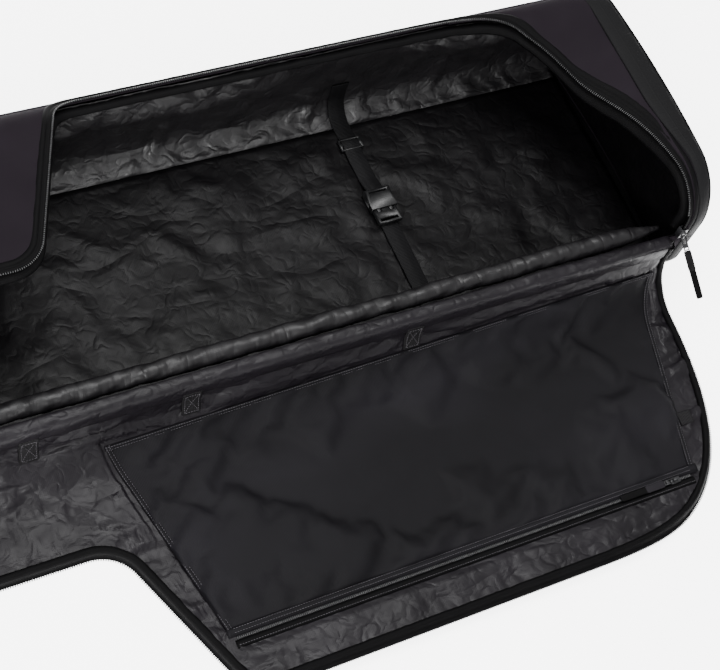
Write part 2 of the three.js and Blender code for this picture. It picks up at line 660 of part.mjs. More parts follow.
const floorAt = (y) => FLOOR_RUN.start + HALF_WIDTH - FLOOR_RADIUS - y;
const STRAP = {
  rise: 26, farEnd: floorAt(BUCKLE.y + 25), nearStart: floorAt(BUCKLE.y - 15), adjusterY: 118,
};
for (const [side, x] of [['right', STRAP_X], ['left', -STRAP_X]]) {
  const [from, to] = [x - STRAP_WIDTH / 2, x + STRAP_WIDTH / 2];
  const far = straightSheet(from, to, FLOOR_BACK_ARC.start - STRAP.rise, STRAP.farEnd, WEBBING_LAYER);
  const nearEnd = GIRTH - HINGE_HEIGHT + FLOOR_RADIUS + STRAP.rise;
  const near = straightSheet(from, to, STRAP.nearStart, nearEnd, WEBBING_LAYER);
  body.add(named(`${side}_strap_far`, far, 'webbing'));
  body.add(named(`${side}_strap_near`, near, 'webbing'));
  const buckle = new THREE.Group();
  buckle.position.set(x, BUCKLE.y, BUCKLE.z);
  body.add(buckle);
  buckle.add(named(`${side}_buckle_socket`, buckleSocket(), 'plastic'));
  buckle.add(named(`${side}_buckle_plug`, bucklePlug(), 'plastic'));
  buckle.add(named(`${side}_buckle_prong_a`, buckleProng(-1), 'plastic'));
  buckle.add(named(`${side}_buckle_prong_b`, buckleProng(1), 'plastic'));
  const slide = named(`${side}_strap_adjuster`, adjuster(), 'plastic');
  slide.position.set(x, STRAP.adjusterY, BUCKLE.z);
  body.add(slide);
}

// ---- Stand the bag on its lowest face, centred over the origin ----
bag.updateMatrixWorld(true);
const bounds = new THREE.Box3().setFromObject(bag, true);
const centre = bounds.getCenter(new THREE.Vector3());
bag.position.set(-centre.x, -centre.y, -bounds.min.z);

export default bag;
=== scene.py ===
"""Looks of a padded snowboard bag that lies on its back with its lid opened flat in front of it.

Sizes are millimetres in the bag's own frame: +X along the bag, -Y the hinge side, +Z up.
A place on the shell is (x, s, depth), as in the CAD part: s is the arc length round the section
from the hinge edge, up the front, over the top, down the back and under the floor, and depth is
the distance in from the outside of the fabric. row() turns millimetres into the row frame's metres.
"""

import math
import bmesh
import bpy
import numpy as np
from mathutils import Matrix, Vector, noise


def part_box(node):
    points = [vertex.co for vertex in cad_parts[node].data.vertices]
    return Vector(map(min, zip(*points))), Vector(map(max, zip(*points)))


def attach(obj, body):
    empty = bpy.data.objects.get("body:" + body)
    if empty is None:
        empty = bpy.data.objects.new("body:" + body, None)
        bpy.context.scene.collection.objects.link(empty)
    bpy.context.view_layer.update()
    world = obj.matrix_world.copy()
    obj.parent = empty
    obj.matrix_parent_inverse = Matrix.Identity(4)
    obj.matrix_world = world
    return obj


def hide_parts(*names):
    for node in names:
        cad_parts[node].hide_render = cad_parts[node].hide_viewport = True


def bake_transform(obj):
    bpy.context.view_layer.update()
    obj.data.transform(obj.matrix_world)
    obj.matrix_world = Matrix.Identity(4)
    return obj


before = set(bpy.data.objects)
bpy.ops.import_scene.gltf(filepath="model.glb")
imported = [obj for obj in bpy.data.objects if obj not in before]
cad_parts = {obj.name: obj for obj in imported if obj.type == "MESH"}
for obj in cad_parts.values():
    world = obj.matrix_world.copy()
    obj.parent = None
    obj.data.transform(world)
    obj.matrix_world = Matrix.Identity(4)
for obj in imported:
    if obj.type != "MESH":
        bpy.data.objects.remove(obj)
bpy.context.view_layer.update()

MM = 0.001
QUARTER = math.pi / 2

# ---- Driving dimensions, in millimetres ----
WIDTH, HEIGHT, HINGE_HEIGHT = 380, 190, 95
HALF_WIDTH = WIDTH / 2
HINGE_Y = -HALF_WIDTH - 1
TOP_FRONT_RADIUS, TOP_BACK_RADIUS, FLOOR_RADIUS = 70, 60, 40
WIDE_REACH, NARROW_REACH, LID_END = 427.5, 208, 800
RIGHT_CORNER = (490, 3.2)
LEFT_CORNER = (-735, 2.5)
STEP_FOOT, STEP_HEAD, FOOT_RADIUS, HEAD_RADIUS = -32, 57.5, 50, 40
EDGE_SETBACK = 7
BACK_EDGE = WIDE_REACH + EDGE_SETBACK
SHELL_END = 822
LINING_DEPTH, PANEL_BACK = 7.6, 5.0
STRAP_X, STRAP_WIDTH = 470, 25
PATCH_X = {"left": -95, "middle": 105, "right": 405}
PATCH_WIDTH, PATCH_FROM, PATCH_TO = 24, 17, 61
POCKET = {"top_left": -6, "top_right": 776, "bottom_left": 54, "bottom_right": 706}
POCKET_TOP_LEFT_S, POCKET_TOP_RIGHT_S = 74, 53
POCKET_ZIP_S = 352


def row_shift():
    """Where the bag's own origin is in the row frame, from the floor panel's box."""
    low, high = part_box("floor_outer")
    return np.array([(low.x + high.x) / 2, (low.y + high.y) / 2, low.z])


SHIFT = row_shift()


def row(points):
    return np.asarray(points, float) * MM + SHIFT


LID_TURN = np.array([1, -1, -1])
UP = np.array([0, 0, 1.0])


def opened(points):
    """Points of the closed lid, in millimetres, turned half a turn about the hinge."""
    turned = np.array(points, float)
    turned[..., 1] = 2 * HINGE_Y - turned[..., 1]
    turned[..., 2] = 2 * HINGE_HEIGHT - turned[..., 2]
    return turned


# ---- Lines and grids of points ----
def even(low, high, step):
    return np.linspace(low, high, max(2, int(round((high - low) / step)) + 1))


def evenly_round(whole, count):
    """Values from 0 up to the whole, for a ring that closes on its first one."""
    return np.linspace(0, whole, count + 1)[:-1]


def distance_along(line):
    return np.concatenate([[0], np.cumsum(np.hypot.reduce(np.diff(line, axis=0), axis=1))])


def unit(vectors):
    return vectors / np.maximum(np.hypot.reduce(vectors, axis=-1, keepdims=True), 1e-9)


def smooth_step(share):
    share = np.clip(share, 0, 1)
    return share * share * (3 - 2 * share)


def cloth_uv(along, across):
    """Two coordinates for each point of a grid, from its columns and its rows."""
    return np.stack(np.broadcast_arrays(along[:, None], across[None, :]), axis=2)


# ---- Section of the shell ----
def section_runs():
    sizes = [
        ("line", HEIGHT - TOP_FRONT_RADIUS - HINGE_HEIGHT),
        ("arc", TOP_FRONT_RADIUS),
        ("line", WIDTH - TOP_FRONT_RADIUS - TOP_BACK_RADIUS),
        ("arc", TOP_BACK_RADIUS),
        ("line", HEIGHT - TOP_BACK_RADIUS - FLOOR_RADIUS),
        ("arc", FLOOR_RADIUS),
        ("line", WIDTH - 2 * FLOOR_RADIUS),
        ("arc", FLOOR_RADIUS),
        ("line", HINGE_HEIGHT - FLOOR_RADIUS),
    ]
    runs = []
    y, z, heading, start = -HALF_WIDTH, HINGE_HEIGHT, QUARTER, 0.0
    for kind, size in sizes:
        if kind == "arc":
            centre = (y + size * math.sin(heading), z - size * math.cos(heading))
            runs.append((start, size * QUARTER, size, centre, heading))
            heading -= QUARTER
            y = centre[0] - size * math.sin(heading)
            z = centre[1] + size * math.cos(heading)
            start += size * QUARTER
        else:
            runs.append((start, size, 0, (y, z), heading))
            y += size * math.cos(heading)
            z += size * math.sin(heading)
            start += size
    return runs, start


RUNS, GIRTH = section_runs()
FLOOR_BACK_ARC, FLOOR_START, FLOOR_END = RUNS[5][0], RUNS[6][0], RUNS[7][0]


def shell(x, s, depth):
    """Points of the shell in millimetres, and the direction into the bag at each."""
    x, s, depth = np.broadcast_arrays(*(np.asarray(v, float) for v in (x, s, depth)))
    around = np.mod(s, GIRTH)
    points, inward = np.zeros(x.shape + (3,)), np.zeros(x.shape + (3,))
    points[..., 0] = x
    for start, length, radius, anchor, heading in RUNS:
        here = (around >= start - 1e-6) & (around <= start + length + 1e-6)
        along, deep = around[here] - start, depth[here]
        turned = heading - along / radius if radius else np.full(along.shape, heading)
        sin, cos = np.sin(turned), np.cos(turned)
        if radius:
            points[here, 1] = anchor[0] - (radius - deep) * sin
            points[here, 2] = anchor[1] + (radius - deep) * cos
        else:
            points[here, 1] = anchor[0] + along * cos + deep * sin
            points[here, 2] = anchor[1] + along * sin - deep * cos
        inward[here, 1], inward[here, 2] = sin, -cos
    return points, inward


def on_shell(places, depth):
    """shell() for places given as one array."""
    return shell(places[..., 0], places[..., 1], depth)


def on_lid(places, depth):
    """Points of the opened lid."""
    return opened(on_shell(places, depth)[0])


# ---- The slack corner at the right end of the opening ----
SLACK_MIDDLE, SLACK_REACH = (760, 20), (140, 145)
SLACK_MOVE = np.array([-28.0, -12.0, -22.0])
SLACK_BACK, SLACK_FOOT, HELD_WITHIN, FOOT_WITHIN = 178, 135, 60, 35


def slackened(points):
    """Points of the body's top side, sunk and drawn in where the unzipped cloth is slack.
    The end seam, the back wall and the front wall hold it in place near them."""
    x, y, z = points[..., 0], points[..., 1], points[..., 2]
    near = ((x - SLACK_MIDDLE[0]) / SLACK_REACH[0]) ** 2 + ((y - SLACK_MIDDLE[1]) / SLACK_REACH[1]) ** 2
    held = (smooth_step((SHELL_END - x) / HELD_WITHIN) * smooth_step((SLACK_BACK - y) / HELD_WITHIN)
            * smooth_step((z - SLACK_FOOT) / FOOT_WITHIN))
    return points + (np.exp(-near) * held)[..., None] * SLACK_MOVE


# ---- Outline of the opening, as places (x, s) from the left end to the right end ----
END_POINTS, FILLET_POINTS = 240, 24


def rounded_end(start, end, reach, power):
    """A quarter of a superellipse, from the hinge edge to the front edge."""
    angle = np.linspace(0, QUARTER, END_POINTS)
    return np.column_stack([
        start + (end - start) * np.cos(angle) ** (2 / power),
        reach * np.sin(angle) ** (2 / power),
    ])


def fillet(x, s, radius, slope, turn):
    """The round corner between a straight edge and the slope; turn is 1 at its foot, -1 at its head."""
    middle_x = x - turn * radius * math.tan(slope / 2)
    middle_s = s + turn * radius
    share = np.linspace(0, 1, FILLET_POINTS)
    angle = slope * (share if turn > 0 else 1 - share)
    return np.column_stack([
        middle_x + turn * radius * np.sin(angle),
        middle_s - turn * radius * np.cos(angle),
    ])


def resample(places, step):
    """The line's points at an even step, and how far along each one is."""
    total = distance_along(places)
    wanted = np.linspace(0, total[-1], int(round(total[-1] / step)) + 1)
    return np.column_stack([np.interp(wanted, total, column) for column in places.T]), wanted


def opening_outline():
    slope = math.atan2(WIDE_REACH - NARROW_REACH, STEP_HEAD - STEP_FOOT)
    return np.concatenate([
        rounded_end(LEFT_CORNER[0], -LID_END, NARROW_REACH, LEFT_CORNER[1]),
        fillet(STEP_FOOT, NARROW_REACH, FOOT_RADIUS, slope, 1),
        fillet(STEP_HEAD, WIDE_REACH, HEAD_RADIUS, slope, -1),
        rounded_end(RIGHT_CORNER[0], LID_END, WIDE_REACH, RIGHT_CORNER[1])[::-1],
    ])


LOWEST = 2.0


class Outline:
    """The opening's edge, sampled evenly. Offsets are positive out on to the fixed panels."""

    def __init__(self, step):
        self.places, self.along = resample(opening_outline(), step)
        run = unit(np.gradient(self.places, axis=0))
        self.normal = np.column_stack([-run[:, 1], run[:, 0]])

    def offset(self, distance, lowest=LOWEST):
        places = self.places + self.normal * np.asarray(distance, float)[..., None]
        places[..., 1] = np.maximum(places[..., 1], lowest)
        return places


EDGE = Outline(5)
FINE_EDGE = Outline(2.8)


# ---- Noise ----
NOISE_FALL, NOISE_STEP, OCTAVES = 0.8, 2.0, 2


def wander(points, size, seed=0.0):
    """Smooth noise from -1 to 1 at each point, with features of about this size."""
    flat = np.asarray(points, float).reshape(-1, np.shape(points)[-1])
    flat = flat / np.asarray(size, float)
    if flat.shape[1] == 2:
        flat = np.column_stack([flat, np.zeros(len(flat))])
    shift = Vector((seed, seed * 1.7, seed * 2.3))
    values = [
        noise.fractal(Vector(p) + shift, NOISE_FALL, NOISE_STEP, OCTAVES,
                      noise_basis="PERLIN_ORIGINAL")
        for p in flat
    ]
    return np.array(values).reshape(np.shape(points)[:-1])


# ---- Meshes ----
def add_object(name, data):
    obj = bpy.data.objects.new(name, data)
    bpy.context.scene.collection.objects.link(obj)
    return obj


def shade_smooth(mesh):
    mesh.polygons.foreach_set("use_smooth", [True] * len(mesh.polygons))


def build_mesh(name, points, faces, uv=None):
    """points are in millimetres, and can be a grid or a list."""
    mesh = bpy.data.meshes.new(name)
    mesh.from_pydata(row(points).reshape(-1, 3).tolist(), [], faces)
    if uv is not None:
        layer = mesh.uv_layers.new(name="cloth")
        corners = np.empty(len(mesh.loops), int)
        mesh.loops.foreach_get("vertex_index", corners)
        places = np.reshape(uv, (-1, 2))[corners]
        layer.data.foreach_set("uv", (places * MM).astype(np.float32).ravel())
    work = bmesh.new()
    work.from_mesh(mesh)
    bmesh.ops.recalc_face_normals(work, faces=work.faces)
    work.to_mesh(mesh)
    work.free()
    shade_smooth(mesh)
    return add_object(name, mesh)


def grid_faces(wide, tall, base=0, around=False, along=False):
    """Quads of a grid of points numbered column by column; it can close on itself either way."""
    faces = []
    for i in range(wide if along else wide - 1):
        for j in range(tall if around else tall - 1):
            a, b = i * tall + j, i * tall + (j + 1) % tall
            c, d = (i + 1) % wide * tall + (j + 1) % tall, (i + 1) % wide * tall + j
            faces.append((base + a, base + b, base + c, base + d))
    return faces


def closed_sheet(name, front, back, uv):
    """A sheet with a front and a back grid of points and a rim between them."""
    wide, tall = front.shape[:2]
    count = wide * tall
    faces = grid_faces(wide, tall) + grid_faces(wide, tall, count)
    border = (
        [i * tall for i in range(wide)]
        + [(wide - 1) * tall + j for j in range(1, tall)]
        + [i * tall + tall - 1 for i in range(wide - 2, -1, -1)]
        + list(range(tall - 2, 0, -1))
    )
    for a, b in zip(border, border[1:] + border[:1]):
        faces.append((a, b, count + b, count + a))
    points = np.concatenate([front.reshape(-1, 3), back.reshape(-1, 3)])
    return build_mesh(name, points, faces, np.tile(uv.reshape(-1, 2), (2, 1)))


def grid_normals(grid, towards):
    """Unit normals of a grid of points, on the side that towards points to."""
    normals = unit(np.cross(np.gradient(grid, axis=0), np.gradient(grid, axis=1)))
    facing = np.sign((normals * towards).sum(2, keepdims=True))
    return normals * np.where(facing == 0, 1, facing)


def thin_sheet(name, grid, towards, thick, uv):
    """The grid is the side that shows, and towards the direction that it faces."""
    return closed_sheet(name, grid, grid - grid_normals(grid, towards) * thick, uv)


def tube(name, line, sections):
    """line[i] is a point, and sections[i] the ring of points round it; both ends are closed."""
    wide, tall = sections.shape[:2]
    faces = grid_faces(wide, tall, around=True)
    faces.append(tuple(range(tall)))
    faces.append(tuple((wide - 1) * tall + j for j in range(tall)))
    ring = np.linalg.norm(sections[0] - np.roll(sections[0], 1, axis=0), axis=1).sum()
    uv = cloth_uv(distance_along(line), np.linspace(0, ring, tall))
    return build_mesh(name, sections, faces, uv)


def border_distance(grid):
    """How far each point of a grid is from the grid's nearest border."""
    distance = np.full(grid.shape[:2], np.inf)
    for axis in (0, 1):
        steps = np.linalg.norm(np.diff(grid, axis=axis), axis=2)
        along = np.cumsum(steps, axis=axis)
        zero = np.zeros_like(np.take(along, [0], axis=axis))
        from_start = np.concatenate([zero, along], axis=axis)
        whole = np.take(from_start, [-1], axis=axis)
        distance = np.minimum(distance, np.minimum(from_start, whole - from_start))
    return distance


# ---- Cloth ----
GROWTH_FRAMES = 12
MOST_SLIDE = 5.0


def grown_cloth(begin, pinned, growth, stiffness):
    """The grid's points after its cloth has grown by this share between its pinned points."""
    mesh = bpy.data.meshes.new("cloth_work")
    mesh.from_pydata((begin * MM).reshape(-1, 3).tolist(), [], grid_faces(*begin.shape[:2]))
    obj = add_object("cloth_work", mesh)
    group = obj.vertex_groups.new(name="pinned")
    group.add(np.flatnonzero(pinned.ravel()).tolist(), 1.0, "REPLACE")
    cloth = obj.modifiers.new("Cloth", "CLOTH")
    cloth.point_cache.frame_end = GROWTH_FRAMES
    cloth.collision_settings.use_collision = False
    settings = cloth.settings
    settings.quality = 4
    settings.mass = 0.15
    settings.tension_stiffness = settings.compression_stiffness = 25
    settings.shear_stiffness = 8
    settings.bending_stiffness = stiffness
    settings.air_damping = 2
    settings.vertex_group_mass = "pinned"
    settings.shrink_min = -growth
    settings.effector_weights.gravity = 0
    scene = bpy.context.scene
    for step in range(1, GROWTH_FRAMES + 1):
        scene.frame_set(step)
    result = obj.evaluated_get(bpy.context.evaluated_depsgraph_get()).to_mesh()
    flat = np.empty(len(result.vertices) * 3, np.float32)
    result.vertices.foreach_get("co", flat)
    bpy.data.objects.remove(obj)
    bpy.data.meshes.remove(mesh)
    scene.frame_set(1)
    return flat.reshape(begin.shape) / MM


def crumpled(grid, inward, start, pinned, growth, stiffness=0.6, rise=9.0, drop=1.3):
    """The grid with the wrinkles of its cloth. start is the first ripple, in millimetres, that they
    grow from. No point ends more than rise further in, drop further out or MOST_SLIDE aside."""
    moved = grown_cloth(grid + inward * start[..., None], pinned, growth, stiffness) - grid
    along = (moved * inward).sum(2)
    aside = moved - along[..., None] * inward
    length = np.linalg.norm(aside, axis=2, keepdims=True)
    aside *= np.minimum(1, MOST_SLIDE / np.maximum(length, 1e-6))
    return grid + inward * np.clip(along, -drop, rise)[..., None] + aside


def border_pins(grid):
    pinned = np.zeros(grid.shape[:2], bool)
    pinned[[0, -1], :] = True
    pinned[:, [0, -1]] = True
    return pinned


# ---- Materials ----
class Nodes:
    """Short forms for making a material's nodes."""

    def __init__(self, name, coordinates="uv"):
        self.material = bpy.data.materials.new(name)
        self.material.use_nodes = True
        self.tree = self.material.node_tree
        self.shader = self.tree.nodes["Principled BSDF"]
        if coordinates == "uv":
            source = self.add("ShaderNodeUVMap")
            source.uv_map = "cloth"
            self.place = source.outputs["UV"]
        else:
            self.place = self.add("ShaderNodeTexCoord").outputs["Object"]

    def add(self, kind, **inputs):
        node = self.tree.nodes.new(kind)
        for name, value in inputs.items():
            self.feed(node.inputs[name.replace("_", " ")], value)
        return node

    def feed(self, socket, value):
        if isinstance(value, bpy.types.NodeSocket):
            self.tree.links.new(value, socket)
        else:
            socket.default_value = value

    def math(self, operation, *values):
        node = self.add("ShaderNodeMath")
        node.operation = operation
        for socket, value in zip(node.inputs, values):
            self.feed(socket, value)
        return node.outputs[0]

    def noise(self, scale, detail=3.0, distortion=0.0, stretch=None):
        vector = self.place
        if stretch:
            vector = self.add("ShaderNodeMapping", Vector=vector, Scale=stretch).outputs[0]
        node = self.add(
            "ShaderNodeTexNoise", Vector=vector, Scale=scale, Detail=detail, Distortion=distortion
        )
        return node.outputs["Fac"]

    def creases(self, scale, stretch=None):
        """Sharp creases between soft swellings."""
        value = self.noise(scale, 1.5, 0.4, stretch)
        fold = self.math("ABSOLUTE", self.math("SUBTRACT", value, 0.5))
        return self.ramp(fold, 0, 1, 0.0, 0.16)

    def wave(self, axis, pitch):
        """A smooth 0 to 1 ripple along one of the two cloth directions."""
        split = self.add("ShaderNodeSeparateXYZ", Vector=self.place)
        turns = self.math("MULTIPLY", split.outputs[axis], 2 * math.pi / pitch)
        return self.math("MULTIPLY_ADD", self.math("SINE", turns), 0.5, 0.5)

    def ramp(self, value, low, high, from_low=0.3, from_high=0.7):
        limits = {"From_Min": from_low, "From_Max": from_high, "To_Min": low, "To_Max": high}
        return self.add("ShaderNodeMapRange", Value=value, **limits).outputs[0]

    def blend(self, share, dark, light):
        node = self.add("ShaderNodeMix")
        node.data_type = "RGBA"
        self.feed(node.inputs["Factor"], share)
        node.inputs["A"].default_value = (*dark, 1)
        node.inputs["B"].default_value = (*light, 1)
        return node.outputs["Result"]

    def bump(self, *heights):
        """heights are pairs of a 0 to 1 value and its height in metres."""
        normal = None
        for value, height in heights:
            node = self.add("ShaderNodeBump", Height=value, Strength=1.0, Distance=height)
            if normal is not None:
                self.tree.links.new(normal, node.inputs["Normal"])
            normal = node.outputs[0]
        self.tree.links.new(normal, self.shader.inputs["Normal"])

    def finish(self, colour, roughness, specular=0.5, metallic=0.0):
        self.feed(self.shader.inputs["Base Color"], colour)
        self.feed(self.shader.inputs["Roughness"], roughness)
        self.shader.inputs["Specular IOR Level"].default_value = specular
        self.shader.inputs["Metallic"].default_value = metallic
        return self.material


def scaled(colour, factor):
    return tuple(channel * factor for channel in colour)


def woven(name, colour, pitch, height, roughness, spread=0.25, mottle=18.0, coordinates="uv"):
    """Plain woven cloth: yarns over and under each other, with a slow change of shade."""
    nodes = Nodes(name, coordinates)
    weave = nodes.math("MULTIPLY", nodes.wave(0, pitch), nodes.wave(1, pitch))
    shade = nodes.noise(mottle, 4.0)
    colours = nodes.blend(nodes.ramp(shade, 0, 1), scaled(colour, 1 - spread), scaled(colour, 1 + spread))
    rough = nodes.ramp(nodes.noise(mottle * 4), roughness - 0.06, roughness + 0.06)
    nodes.bump((nodes.noise(60.0, 3.0), height * 2), (weave, height))
    return nodes.finish(colours, rough, 0.05)


def tarpaulin(name, colour, creasing, specular):
    """Coated cloth with a satin shine, small creases and a fine tape weave under the coating."""
    nodes = Nodes(name)
    weave = nodes.math("MULTIPLY", nodes.wave(0, 0.0022), nodes.wave(1, 0.0022))
    coarse = nodes.creases(16.0, (0.6, 1.0, 1.0))
    fine = nodes.creases(48.0)
    worn = nodes.noise(9.0, 5.0)
    colours = nodes.blend(nodes.ramp(worn, 0, 1), scaled(colour, 0.8), scaled(colour, 1.35))
    rough = nodes.ramp(nodes.noise(40.0, 4.0), 0.38, 0.54)
    nodes.bump((coarse, 0.0012 * creasing), (fine, 0.0004 * creasing), (weave, 0.00005))
    return nodes.finish(colours, rough, specular)


def ripstop(name, colour):
    """Plain cloth with a raised square grid of thicker yarns."""
    nodes = Nodes(name)
    grid = nodes.math("MAXIMUM", nodes.wave(0, 0.005), nodes.wave(1, 0.005))
    yarns = nodes.ramp(grid, 0, 1, 0.93, 1.0)
    shade = nodes.noise(14.0, 4.0)
    colours = nodes.blend(nodes.ramp(shade, 0, 1), scaled(colour, 0.8), scaled(colour, 1.25))
    nodes.bump((nodes.noise(50.0, 3.0), 0.0006), (yarns, 0.00012))
    return nodes.finish(colours, nodes.ramp(shade, 0.55, 0.7), 0.1)


def ribbed(name, colour, pitch, height, roughness=0.62, specular=0.1):
    """Webbing or binding tape: ribs across it, and a fine edge thread along it."""
    nodes = Nodes(name)
    ribs = nodes.wave(0, pitch)
    twill = nodes.wave(1, pitch * 1.6)
    shade = nodes.noise(30.0, 4.0)
    colours = nodes.blend(nodes.ramp(shade, 0, 1), scaled(colour, 0.75), scaled(colour, 1.3))
    nodes.bump((twill, height * 0.5), (ribs, height))
    return nodes.finish(colours, nodes.ramp(shade, roughness - 0.08, roughness + 0.08), specular)


def netting(name, colour, pitch):
    """A close knitted mesh, whose small holes read as dark dots, with painted sheen and shade: its colour is
    lighter on the crowns of its broad folds and darker between them.
    """
    nodes = Nodes(name)
    holes = nodes.math("MULTIPLY", nodes.wave(0, pitch), nodes.wave(1, pitch * 0.8))
    folds = nodes.noise(3.4, 2.5, 0.3, (0.8, 1.7, 1.0))
    # Painted sheen: the colour is lighter where the folds' bump rises and darker in the hollows between
    # them.
    painted_fold_sheen = nodes.ramp(folds, 0.25, 1.0, 0.4, 0.62)
    share = nodes.math("MULTIPLY", nodes.ramp(holes, 1.0, 0.25, 0.35, 0.75), painted_fold_sheen)
    colours = nodes.blend(share, scaled(colour, 0.35), scaled(colour, 1.3))
    nodes.bump((folds, 0.008), (nodes.noise(30.0, 3.0), 0.0010), (holes, -0.0002))
    return nodes.finish(colours, 0.6, 0.1)


def moulded(name, colour, roughness, grain, metallic=0.0, specular=0.5):
    """Moulded plastic or enamelled metal with a fine grain, and a little wear."""
    nodes = Nodes(name, "object")
    fine = nodes.noise(grain, 2.0)
    worn = nodes.noise(grain * 0.06, 4.0)
    colours = nodes.blend(nodes.ramp(worn, 0, 1), scaled(colour, 0.8), scaled(colour, 1.4))
    nodes.bump((fine, 0.00006))
    return nodes.finish(colours, nodes.ramp(worn, roughness - 0.08, roughness + 0.1), specular, metallic)


LOOKS = {
    "shell_fabric": woven("coated_polyester", (0.0090, 0.0069, 0.0093), 0.0009, 0.00006, 0.85, 0.1),
    "end_band": ripstop("ripstop", (0.0034, 0.0033, 0.0037)),
    # One lining tarpaulin in four copies whose colours follow how each part is lit: the back wall's copy is
    # painted lighter, a painted light, because the lamps hardly reach it; the tub's copy, on the floor,
    # front wall, tops and end liners, is painted darker, a painted shade, under the overhead lamp; the lid's
    # and the roll's copies lie between.
    "lining": tarpaulin("tub_tarpaulin_painted_shade", (0.0020, 0.0018, 0.0021), 1.0, 0.1),
    "wall_lining_painted_light": tarpaulin("wall_tarpaulin_painted_light", (0.0048, 0.0043, 0.0050), 1.7, 0.55),
    "lid_lining": tarpaulin("lid_tarpaulin", (0.0046, 0.0037, 0.0051), 1.4, 0.18),
    "roll": tarpaulin("roll_tarpaulin", (0.0036, 0.0032, 0.0038), 1.8, 0.3),
    "pocket_mesh": netting("pocket_netting", (0.0050, 0.0045, 0.0059), 0.0018),
    "binding": ribbed("binding_tape", (0.0017, 0.0016, 0.0018), 0.0016, 0.0001, specular=0.05),
    "webbing": ribbed("nylon_webbing", (0.0030, 0.0029, 0.0033), 0.0021, 0.0003, 0.58),
    "patch": ribbed("patch_webbing", (0.0060, 0.0056, 0.0062), 0.0021, 0.0003, 0.6),
    # The coil's dark nylon is painted a lighter grey, a painted highlight that stands in for the glints
    # along its teeth.
    "zip_coil": moulded("nylon_coil_painted_glint", (0.018, 0.018, 0.019), 0.28, 900.0),
    "slider_metal": moulded("black_enamel", (0.008, 0.008, 0.009), 0.48, 700.0, 0.1, 0.4),
    "pull_fabric": woven("grey_sleeve", (0.013, 0.012, 0.014), 0.0012, 0.0002, 0.8, 0.15, 60.0),
    "buckle_plastic": moulded("black_acetal", (0.005, 0.005, 0.0054), 0.38, 1500.0, specular=0.35),
    "thread": woven("sewing_thread", (0.085, 0.080, 0.088), 0.0008, 0.0001, 0.6, 0.2, 90.0,
                    coordinates="object"),
}


def dress(obj, look, body, *nodes):
    """Gives a piece its material, its body and the CAD nodes that it stands for."""
    obj.data.materials.clear()
    obj.data.materials.append(LOOKS[look])
    if body:
        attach(obj, body)
    if nodes:
        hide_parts(*nodes)
    return obj


# ---- Camera, lights and floor ----
def make_camera():
    """The photograph's view: from the hinge side, steeply down, with the camera rolled."""
    data = bpy.data.cameras.new("camera")
    data.sensor_width = 36
    data.lens = 78.9
    data.clip_end = 50
    obj = add_object("camera", data)
    right = Vector((0.8912, -0.3982, 0.2172)).normalized()
    forward = Vector((0.3721, 0.3681, -0.8521))
    forward = (forward - right * forward.dot(right)).normalized()
    up = right.cross(forward)
    turn = Matrix((right, up, -forward)).transposed()
    obj.matrix_world = Matrix.Translation((-0.4016, -0.7273, 1.7407)) @ turn.to_4x4()
    bpy.context.scene.camera = obj


def area_light(name, place, aim, size, power):
    data = bpy.data.lights.new(name, "AREA")
    data.shape = "DISK"
    data.size = size
    data.energy = power
    obj = add_object(name, data)
    obj.location = place
    obj.rotation_euler = (Vector(aim) - Vector(place)).to_track_quat("-Z", "Y").to_euler()


def make_studio():
    world = bpy.data.worlds.new("studio")
    world.use_nodes = True
    background = world.node_tree.nodes["Background"]
    background.inputs["Color"].default_value = (1, 1, 1, 1)
    background.inputs["Strength"].default_value = 1.05
    bpy.context.scene.world = world
    area_light("overhead", (0.4, 0.6, 2.8), (0.1, 0, 0), 1.8, 105)
    area_light("front", (-1.3, -1.9, 1.9), (0, 0, 0.1), 1.3, 110)
    half = 60.0
    mesh = bpy.data.meshes.new("floor")
    corners = [(-half, -half, 0), (half, -half, 0), (half, half, 0), (-half, half, 0)]
    mesh.from_pydata(corners, [], [(0, 1, 2, 3)])
    nodes = Nodes("studio_floor", "object")
    shade = nodes.noise(3.0, 2.0)
    pale = nodes.finish(nodes.blend(shade, (0.88, 0.88, 0.88), (0.9, 0.9, 0.9)), 0.8, 0.2)
    nodes.shader.inputs["Emission Color"].default_value = (1, 1, 1, 1)
    nodes.shader.inputs["Emission Strength"].default_value = 4.5
    mesh.materials.append(pale)
    add_object("floor", mesh)


make_camera()
make_studio()


# ---- Places on the panels ----
def rectangle(x0, x1, s0, s1, step):
    x, s = np.meshgrid(even(x0, x1, step), even(s0, s1, step), indexing="ij")
    return np.stack([x, s], axis=2)


def lid_places(setback, rows):
    """Columns from the hinge edge up to the opening's edge."""
    edge = EDGE.offset(-setback)[1:-1]
    share = np.linspace(0, 1, rows)[None, :]
    s = LOWEST + (edge[:, 1:] - LOWEST + 0.5) * share
    return np.stack(np.broadcast_arrays(edge[:, :1], s), axis=2)


BETWEEN_TOPS = 270


def top_places(side, rows):
    """Columns of a fixed top panel, from the opening's edge to the back wall's top edge."""
    edge = EDGE.offset(EDGE_SETBACK)
    keep = (BACK_EDGE - edge[:, 1] > 5) & (np.sign(edge[:, 0] - BETWEEN_TOPS) == side)
    edge = edge[keep]
    ends = np.column_stack([
        np.linspace(edge[-1 if side > 0 else 0, 0], side * SHELL_END, 5)[1:],
        np.full(4, LOWEST),
    ])
    edge = np.concatenate([edge, ends]) if side > 0 else np.concatenate([ends[::-1], edge])
    share = np.linspace(0, 1, rows)[None, :]
    s = edge[:, 1:] + (BACK_EDGE - edge[:, 1:]) * share
    return np.stack(np.broadcast_arrays(edge[:, :1], s), axis=2)


# ---- Padded outer panels ----
SEAM_GAP = 0.3
FRONT_WALL = (FLOOR_END - GIRTH + SEAM_GAP, -1.7)
TUCK, TUCK_REACH, CROWN_REACH, WAVE_REACH = 3.2, 3.5, 26, 18


